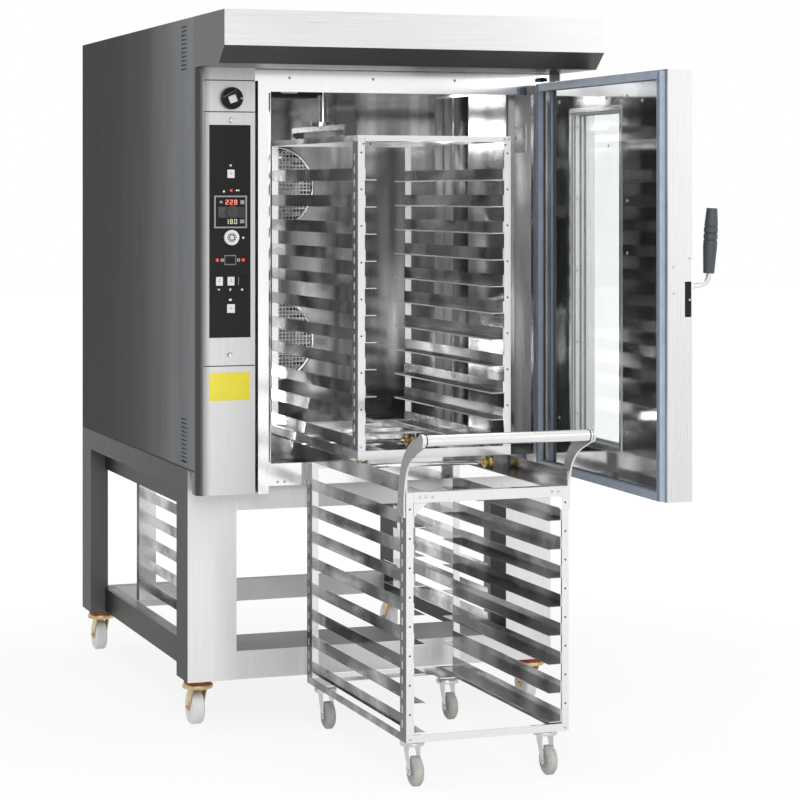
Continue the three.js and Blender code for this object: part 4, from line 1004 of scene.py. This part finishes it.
# %% Rack and trolley bolts
BOLT = {"radius": 4.2, "height": 2.6, "sides": 6, "socket": False}
BOLT_PLACES = {
    "rack": [(x, RACK_FACE, 1719) for x in (364, 376, 794, 806)] + [(x, RACK_FACE, 862) for x in (364, 806)],
    "trolley": [(x, TROLLEY_FACE, 768) for x in (390, 408, 426, 768, 786)]
    + [(x, TROLLEY_FACE, 134) for x in (364, 806)],
}
for body, places in BOLT_PLACES.items():
    screws(body + "_bolts", FRONT, places, "screw_steel", body, "bright_steel", **BOLT)
arm_places = [(347.7, -864, z) for z in (730, 762)]
screws("arm_bolts", LEFT, arm_places, "screw_steel", "trolley", "arm_grey", **BOLT)
print(sum(map(len, BOLT_PLACES.values())) + len(arm_places), "bolts")

# %% [markdown]
# The trolley's corner plates are triangles of sheet: a block whose outer lower corner is cut off with
# bisect.

# %% Corner plates
for name, x0, x1, cut_x, lean in (("left", 373.5, 410, 391.7, 1), ("right", 760, 796.5, 778.3, -1)):
    plate = block("trolley_plate_" + name, (x0, -894.6, 715), (x1, -893.1, 752))
    choose(plate, lambda centre, normal: True)
    cut_place = spot(cut_x, TROLLEY_FACE, 733.5)
    bpy.ops.mesh.bisect(plane_co=cut_place, plane_no=(lean, 0, -1), use_fill=True, clear_outer=True)
    done()
    hand_over(soften(plate, 0.3, 1), "chrome", "trolley")

# %% [markdown]
# ## The rack's axles
# The rollers are brass; between them the axle is a bright steel rod. A steel sleeve goes round it, stepped
# at each end: the drum's end faces are inset and extruded outwards.

# %% Axle sleeves
for place, axle_y in (("front", -420), ("rear", 230)):
    sleeve = drum("axle_sleeve_" + place, (585, axle_y, 798.3), 6.4, 330, "X", 24)
    choose(sleeve, lambda centre, normal: abs(normal.x) > 0.9)
    bpy.ops.mesh.inset(thickness=mm(1.2), depth=0)
    bpy.ops.mesh.extrude_region_shrink_fatten(TRANSFORM_OT_shrink_fatten={"value": mm(3)})
    done()
    hand_over(soften(sleeve, 0.4, 1, 50), "chrome", "rack_wheelset_" + place)

# %% [markdown]
# ## Bright lips of the tray ledges
# The ledges on the rack's right side end in a turned edge that catches the light. The fine bright line under
# every tray place is a painted highlight: each lip gets the pale slot_light finish. Their places are read
# from the imported part, so the lips follow it when its pitch changes.

# %% Ledge lips
def ledge_lips(name, node_name, body):
    corners = [vertex.co for vertex in nodes[node_name].data.vertices]
    inner = min(corner.x for corner in corners)
    edge = [corner for corner in corners if abs(corner.x - inner) < 1e-4]
    levels = sorted({round(corner.z, 4) for corner in edge})[1::2]
    front, rear = (1000 * (pick(corner.y for corner in edge) - HOME[1]) for pick in (min, max))
    x = 1000 * (inner - HOME[0])
    lips = [block(name, (x - 0.8, front, 1000 * z - 3.2), (x + 0.2, rear, 1000 * z + 0.2)) for z in levels]
    print(name, len(levels), "ledges at X", round(x, 1))
    # The pale finish paints the highlight of each turned edge.
    return hand_over_all(name, lips, "slot_light", body)


ledge_lips("rack_ledge_lips", "rack_side_right", "rack")

# %% [markdown]
# ## Fan guards
# Behind the rack two round guards of square mesh cover the fans. A disc is cut from a grid: every cell is
# inset on its own, the inner faces are deleted and the remaining web gets its thickness from Solidify. That
# keeps the mesh light, where a woven wire would need many thousands of faces.

# %% Fan guards
GUARD_X, GUARD_RADIUS, GUARD_CELLS = 631, 138, 22


def guard_mesh(name, z):
    hub = spot(GUARD_X, 1196.4, z)
    cells = {"x_subdivisions": GUARD_CELLS, "y_subdivisions": GUARD_CELLS}
    clear()
    bpy.ops.mesh.primitive_grid_add(size=mm(2 * GUARD_RADIUS), location=hub, rotation=AXIS_TURN["Y"], **cells)
    web = settle(name)
    choose(web, lambda centre, normal: (centre - hub).length > mm(GUARD_RADIUS - 8))
    bpy.ops.mesh.delete(type="FACE")
    bpy.ops.mesh.select_all(action="SELECT")
    bpy.ops.mesh.inset(thickness=mm(1.7), depth=0, use_individual=True)
    bpy.ops.mesh.delete(type="FACE")
    done()
    sheet = web.modifiers.new("sheet", "SOLIDIFY")
    sheet.thickness = mm(1.2)
    bpy.ops.object.modifier_apply(modifier="sheet")
    return web


for place, z in (("upper", 1587), ("lower", 1057)):
    name = "fan_guard_" + place
    web = guard_mesh(name, z)
    rim = open_through(drum(name + "_rim", (GUARD_X, 1196.6, z), GUARD_RADIUS + 3, 2.4, "Y", 64), 1, 8)
    soften(rim, 0.4, 1, 50)
    guard = hand_over_all(name, [web, rim], "chrome", "oven")
    print(name, len(guard.data.polygons), "faces")

# %% [markdown]
# ## Strips and plates on the chamber's walls
# The liner is not one sheet: folded strips cover its joints, and a bolted plate by the door holds the
# light. Each strip is a block with softened edges, bright or dark as on the real wall.

# %% Wall strips and their bolts
AIR_WALL = 1062.7  # face of the duct on the right wall
WALL_STRIPS = {  # face, thickness, from and to along Y, from and to along Z, finish
    "wall_panel": (1079.8, 1.2, -12, 120, 800, 1880, "strip_steel"),
    "light_plate": (1078.4, 2.6, 20, 112, 1690, 1780, "strip_steel"),
    "air_strip_dark": (AIR_WALL, 0.8, 470, 604, 800, 1880, "flange_steel"),
    "air_strip_bright": (AIR_WALL, 1.6, 612, 688, 800, 1880, "strip_steel"),
    "air_strip_back": (AIR_WALL, 1.2, 694, 776, 800, 1880, "strip_steel"),
}
for name, (x, thick, y0, y1, z0, z1, finish) in WALL_STRIPS.items():
    strip = soften(block(name, (x - thick, y0, z0), (x, y1, z1)), 0.8, 2)
    hand_over(strip, finish, "oven")
light_bolts = [(1075.8, y, z) for y in (32, 100) for z in (1702, 1735, 1768)]
screws("light_plate_bolts", LEFT, light_bolts, "screw_steel", "oven", "liner_steel")
air_bolts = [(AIR_WALL - 1.6, y, z) for y in (630, 670) for z in (1790, 1460, 1130)]
screws("air_strip_bolts", LEFT, air_bolts, "screw_steel", "oven", "liner_steel")
print(len(WALL_STRIPS), "strips,", len(light_bolts) + len(air_bolts), "bolts")

# %% [markdown]
# Behind each group of louvre slots in the side sheet hangs a grey plate, so one does not look into the
# cabinet. Its dark grey is painted shade: it stands for the shade inside the cabinet.

# %% Louvre backings
for place, foot in {"upper": 1922, "lower": 782}.items():
    backing = block("louvre_backing_" + place, (3.1, 8, foot), (3.9, 72, foot + 138))
    hand_over(soften(backing, 0.2, 1), "louvre_shade", "oven")

# %% [markdown]
# ## The lamp box under the ceiling
# A shallow dark box hangs under the ceiling near the door: a block, inset from below and pushed out, with a
# pale lens on the side that looks at the door.

# %% Ceiling lamp box
lamp_box = sink(block("ceiling_box", (215, 20, 1858), (420, 190, 1884.5)), DOWN, 12, 8)
hand_over(soften(lamp_box, 1.0, 2), "black_plastic", "oven")
lens = soften(block("ceiling_lamp", (290, 19, 1862), (340, 20.5, 1878)), 0.5, 2)
hand_over(lens, "seal_rail", "oven")

# %% [markdown]
# ## The door, seen from inside
# The leaf hangs 1.4 degrees short of square, so its details are drawn square and then turned about the
# hinge pin with everything else on the leaf. That keeps every place below on a ruler. First come the strips
# beside the seal, among them a dark blue strip that is a painted reflection of the seal in the polished inner
# panel, and the seal's own dark ribs.

# %% Turning with the leaf
PIN = spot(1131, -101, 0)
LEAF_DEGREES = -1.4


def on_leaf(piece, finish):
    return hand_over(turn(piece, PIN, LEAF_DEGREES, "Z"), finish, "door")


# %% Strips beside the seal
LEAF_STRIPS = {  # from and to along X, Y and Z, finish, slot, softening
    "seal_strip_bright": (1070, 1074.7, -172, -150, 764, 1872, "seal_rail", "liner_steel", 0.8),
    "seal_strip_dark": (1068, 1074.7, -149, -144, 764, 1872, "hole_dark", "seal", 0.4),
    # A dark blue strip paints the seal's reflection in the polished inner panel.
    "painted_seal_reflection": (1066, 1074.7, -206, -173, 764, 1872, "seal_dark", "seal", 2.0),
    "seal_strip_free": (1066, 1074.7, -977, -966, 764, 1872, "seal_rail", "liner_steel", 0.8),
    "seal_rib": (1055.9, 1058.3, -990, -986, 742, 1893, "seal_dark", "seal", 0.8),
    "seal_rib_hinge": (1055.9, 1058.3, -114, -110, 742, 1893, "seal_dark", "seal", 0.8),
    "latch_backing": (1147.0, 1149.2, -1009.2, -1008.1, 1180, 1387, "chrome", "front_steel", 0.3),
}
for name, (x0, x1, y0, y1, z0, z1, finish, slot_name, edge) in LEAF_STRIPS.items():
    on_leaf(soften(block(name, (x0, y0, z0), (x1, y1, z1)), edge, 2), finish)
print(len(LEAF_STRIPS), "strips on the leaf")

# %% [markdown]
# The window is framed by a bright steel strip, and greenish bars hold its three panes apart. Each is a
# block as large as the window, opened into a ring as the button frames are.

# %% Window frame and glazing bars
WINDOW_Y, WINDOW_Z = (-695, -345), (850, 1799)
WINDOW_RINGS = {  # from and to along X, how far outside the window, width, finish
    "window_frame": (1072.2, 1074.8, 14, 13, "chrome"),
    "glazing_bar_inner": (1076.0, 1081.4, -0.8, 5, "glazing_green"),
    "glazing_bar_middle": (1104, 1107, -0.8, 6, "glazing_green"),
    "glazing_bar_outer": (1118, 1121, -0.8, 6, "glazing_green"),
}
for name, (x0, x1, outside, width, finish) in WINDOW_RINGS.items():
    low = (x0, WINDOW_Y[0] - outside, WINDOW_Z[0] - outside)
    high = (x1, WINDOW_Y[1] + outside, WINDOW_Z[1] + outside)
    on_leaf(soften(open_through(block(name, low, high), 0, width), 0.5, 1), finish)
print(len(WINDOW_RINGS), "rings round the window")

# %% [markdown]
# Screws hold the inner panel, the window's jamb and the lock in the leaf's narrow end.

# %% Screws of the leaf
PANEL_SCREWS = [(-600, 1836), (-618, 1700), (-850, 1820), (-250, 1836), (-250, 900)]
PANEL_SCREWS += [(-746, z) for z in (1836, 1690, 1545, 1400, 900)]
LEAF_SCREWS = {  # direction, radius, height, places, slot
    "leaf_screws": (LEFT, 4.5, 2.0, [(1075, y, z) for y, z in PANEL_SCREWS], "liner_steel"),
    "jamb_screws": (FRONT, 4.0, 1.6, [(1096, -348, 1760 - 210 * k) for k in range(5)], "front_steel"),
    "end_screws": (
        FRONT,
        3.2,
        1.4,
        [(x, -1008, z) for x, z in ((1094, 1368), (1096, 1298), (1142, 1392), (1142, 1280))],
        "front_steel",
    ),
}
for name, (direction, radius, height, places, slot_name) in LEAF_SCREWS.items():
    on_leaf(repeat(screw_pattern(name, direction, radius, height), name, places), "screw_steel")
    print(name, len(places))

# %% [markdown]
# The latch plate is a dark block whose middle is subdivided and inset cell by cell, as the slots of a lock
# are.

# %% Latch plate
latch = block("latch_plate", (1129.5, -1006.5, 1236), (1145.5, -1002.5, 1327))
choose(latch, facing(FRONT))
bpy.ops.mesh.subdivide(number_cuts=3)
choose(latch, lambda centre, normal: normal.y < -0.9 and abs(centre.z - mm(1281)) < mm(30))
bpy.ops.mesh.inset(thickness=mm(2.2), depth=mm(-0.8), use_individual=True)
done()
on_leaf(latch, "black_plastic")
print("latch plate", len(latch.data.polygons), "faces")

# %% [markdown]
# A small black cap closes the upper hinge's pin, with a raised middle.

# %% Hinge cap
hinge_cap = sink(block("hinge_cap", (1092, -58, 1905.5), (1114, -36, 1916)), UP, 4, 2)
hand_over(soften(hinge_cap, 1.0, 2), "black_plastic", "oven")

# %% [markdown]
# ## Castors
# The oven's castors have a red dust ring under the plate and a wide skirt over the ball race; the trolley's
# have a round collar. Each is a turned form: an outline of [radius, height] points spun around the king
# pin. Spin leaves a seam of doubled points, so they are merged before the normals are made to look
# outwards.

# %% Castor collars
def four_corners(left, right, front, rear):
    ends, sides = {"front": front, "rear": rear}, {"left": left, "right": right}
    return {f"{end}_{side}": (x, y) for end, y in ends.items() for side, x in sides.items()}


OVEN_CASTORS = four_corners(46, 1104, 59, 1322)
TROLLEY_CASTORS = four_corners(394, 776, -826, -88)
DUST_RING = [(36.4, 128), (41, 128), (41, 132.5), (36.4, 132.5)]
SKIRT = [(36.4, 116), (44, 112), (45, 114), (45, 122), (39, 127.5), (36.4, 127.5)]
COLLAR = [(27.4, 106), (32, 104), (33, 106), (33, 114), (29, 119), (27.4, 119)]


def collar(name, x, y, profile, steps=32):
    piece = outline(name, [(x + radius, y, z) for radius, z in profile])
    work_on(piece)
    bpy.ops.object.mode_set(mode="EDIT")
    bpy.ops.mesh.select_all(action="SELECT")
    bpy.ops.mesh.spin(steps=steps, angle=2 * math.pi, center=spot(x, y, 0), axis=(0, 0, 1))
    bpy.ops.mesh.select_all(action="SELECT")
    bpy.ops.mesh.remove_doubles(threshold=0.00001)
    bpy.ops.mesh.normals_make_consistent(inside=False)
    done()
    return soften(piece, 0.3, 1, 40)


for corner, (x, y) in OVEN_CASTORS.items():
    fork = "castor_" + corner + "_fork"
    hand_over(collar("castor_" + corner + "_dust_ring", x, y, DUST_RING), "red_paint", fork)
    hand_over(collar("castor_" + corner + "_skirt", x, y, SKIRT), "yellow_zinc", fork)
for corner, (x, y) in TROLLEY_CASTORS.items():
    name = "trolley_castor_" + corner
    hand_over(collar(name + "_collar", x, y, COLLAR), "bright_zinc", name + "_fork")
print(len(OVEN_CASTORS) + len(TROLLEY_CASTORS), "castors dressed")

# %% [markdown]
# Each wheel has a hub: a boss with a dished middle on both sides of the tyre. It rides on the wheel, so it
# spins.

# %% Hubs
def hubs(prefix, corners, trail, axle_z, radius, half, finish):
    for corner, (x, y) in corners.items():
        name = prefix + corner
        caps = []
        for side in (-1, 1):
            cap = drum(name + "_hub", (x + side * (half + 0.4), y + trail, axle_z), radius, 0.8, "X", 28)
            caps.append(sink(cap, (side, 0, 0), 2.0, -0.5))
        hand_over_all(name + "_hub", caps, finish, name + "_wheel")


hubs("castor_", OVEN_CASTORS, 30, 49.57, 24, 18, "nylon")
hubs("trolley_castor_", TROLLEY_CASTORS, -24, 39.66, 22, 13, "pale_grey")

# %% [markdown]
# ## End caps of the push tube
# The tube is closed by plugs with a dark ring behind each of them.

# %% Push tube rings
tube_rings = [drum("tube_rings", (x, -1030, 930), 15.6, 3, "X", 32) for x in (356, 814)]
hand_over_all("tube_rings", tube_rings, "hole_dark", "trolley")

# %% [markdown]
# ## The picture: floor, world and lamps
# The floor is pale and keeps the object's shadow. The background is white: floor and world give strength 1
# to camera, glossy and transmission rays, and a softer strength to the rest, so the lamps decide the
# modelling.

# %% Floor
def seen_directly(tree):
    """1 for the rays that show a surface or the background itself, also in a mirror or through glass."""
    paths = add(tree, "ShaderNodeLightPath").outputs
    seen = math_node(tree, "MAXIMUM", paths["Is Camera Ray"], paths["Is Glossy Ray"])
    return math_node(tree, "MAXIMUM", seen, paths["Is Transmission Ray"])


clear()
bpy.ops.mesh.primitive_plane_add(size=60, location=(0, 0, 0))
floor = bpy.context.object
floor.name = "floor"
tree, paint = new_material("floor_paint")
PAINT = {"Base Color": (0.85, 0.85, 0.85, 1), "Roughness": 0.95, "Specular IOR Level": 0.0}
for socket, value in PAINT.items():
    paint.inputs[socket].default_value = value
floor.data.materials.append(FINISH["floor_paint"])

# %% Glow of the floor
SHADOW_EDGE, WHITE_FROM = 1.6, 3.5  # metres from the oven over which the floor turns into plain white
away = add(tree, "ShaderNodeVectorMath", operation="LENGTH")
tree.links.new(coordinate(tree, "Object"), away.inputs[0])
far = map_range(tree, away.outputs["Value"], SHADOW_EDGE, WHITE_FROM, 0.8, 1.0)
glow = add(tree, "ShaderNodeEmission")
glow.inputs["Color"].default_value = (1, 1, 1, 1)
glow.inputs["Strength"].default_value = 1.06
blend = add(tree, "ShaderNodeMixShader")
tree.links.new(math_node(tree, "MULTIPLY", seen_directly(tree), far), blend.inputs["Fac"])
tree.links.new(paint.outputs["BSDF"], blend.inputs[1])
tree.links.new(glow.outputs["Emission"], blend.inputs[2])
tree.links.new(blend.outputs["Shader"], tree.nodes["Material Output"].inputs["Surface"])

# %% World
world = bpy.data.worlds.new("studio")
bpy.context.scene.world = world
world.use_nodes = True
sky = world.node_tree
sky.nodes["Background"].inputs["Color"].default_value = (1, 1, 1, 1)
strength = math_node(sky, "MULTIPLY_ADD", seen_directly(sky), 0.45, 0.55)
sky.links.new(strength, sky.nodes["Background"].inputs["Strength"])

# %% [markdown]
# Large soft lamps stand in front, at the right, low and above. Two small ones light the chamber from its
# own lamp box and from below, because the room's light hardly reaches its walls.

# %% Lamps
LAMPS = {  # place, what it looks at, size in metres, power in watts
    "key": ((-1.5, -6.0, 3.6), (0, -0.3, 1.0), 3.0, 115),
    "fill": ((4.0, -5.0, 2.6), (0, -0.3, 0.9), 3.5, 52),
    "low": ((-0.3, -3.6, 0.35), (0, -0.3, 1.95), 1.6, 12),
    "top": ((0.0, 0.5, 5.5), (0, 0, 1.0), 4.0, 90),
    "oven_light": (spot(300, 90, 1840), spot(760, 900, 1250), 0.22, 3.5),
    "oven_light_low": (spot(300, 90, 900), spot(820, 900, 1300), 0.22, 2),
}
for name, (place, target, size, power) in LAMPS.items():
    clear()
    bpy.ops.object.light_add(type="AREA", location=place)
    lamp = bpy.context.object
    lamp.name = name
    lamp.data.size = size
    lamp.data.energy = power
    lamp.rotation_euler = (Vector(target) - Vector(place)).to_track_quat("-Z", "Y").to_euler()
print(len(LAMPS), "lamps")

# %% [markdown]
# ## The camera
# The photograph was taken level, from the left front, with a long lens. The camera stands at that spot and
# looks straight ahead; a downward shift of the sensor frames the oven without making its uprights lean.

# %% Camera
clear()
bpy.ops.object.camera_add(location=spot(-1841, -6925, 1568), rotation=(math.radians(90), 0, -0.3463))
camera = bpy.context.object
camera.data.sensor_width = 36
camera.data.lens = 110.25
camera.data.shift_y = -0.2594
camera.data.clip_end = 100
bpy.context.scene.camera = camera
bpy.context.scene.view_settings.view_transform = "Standard"
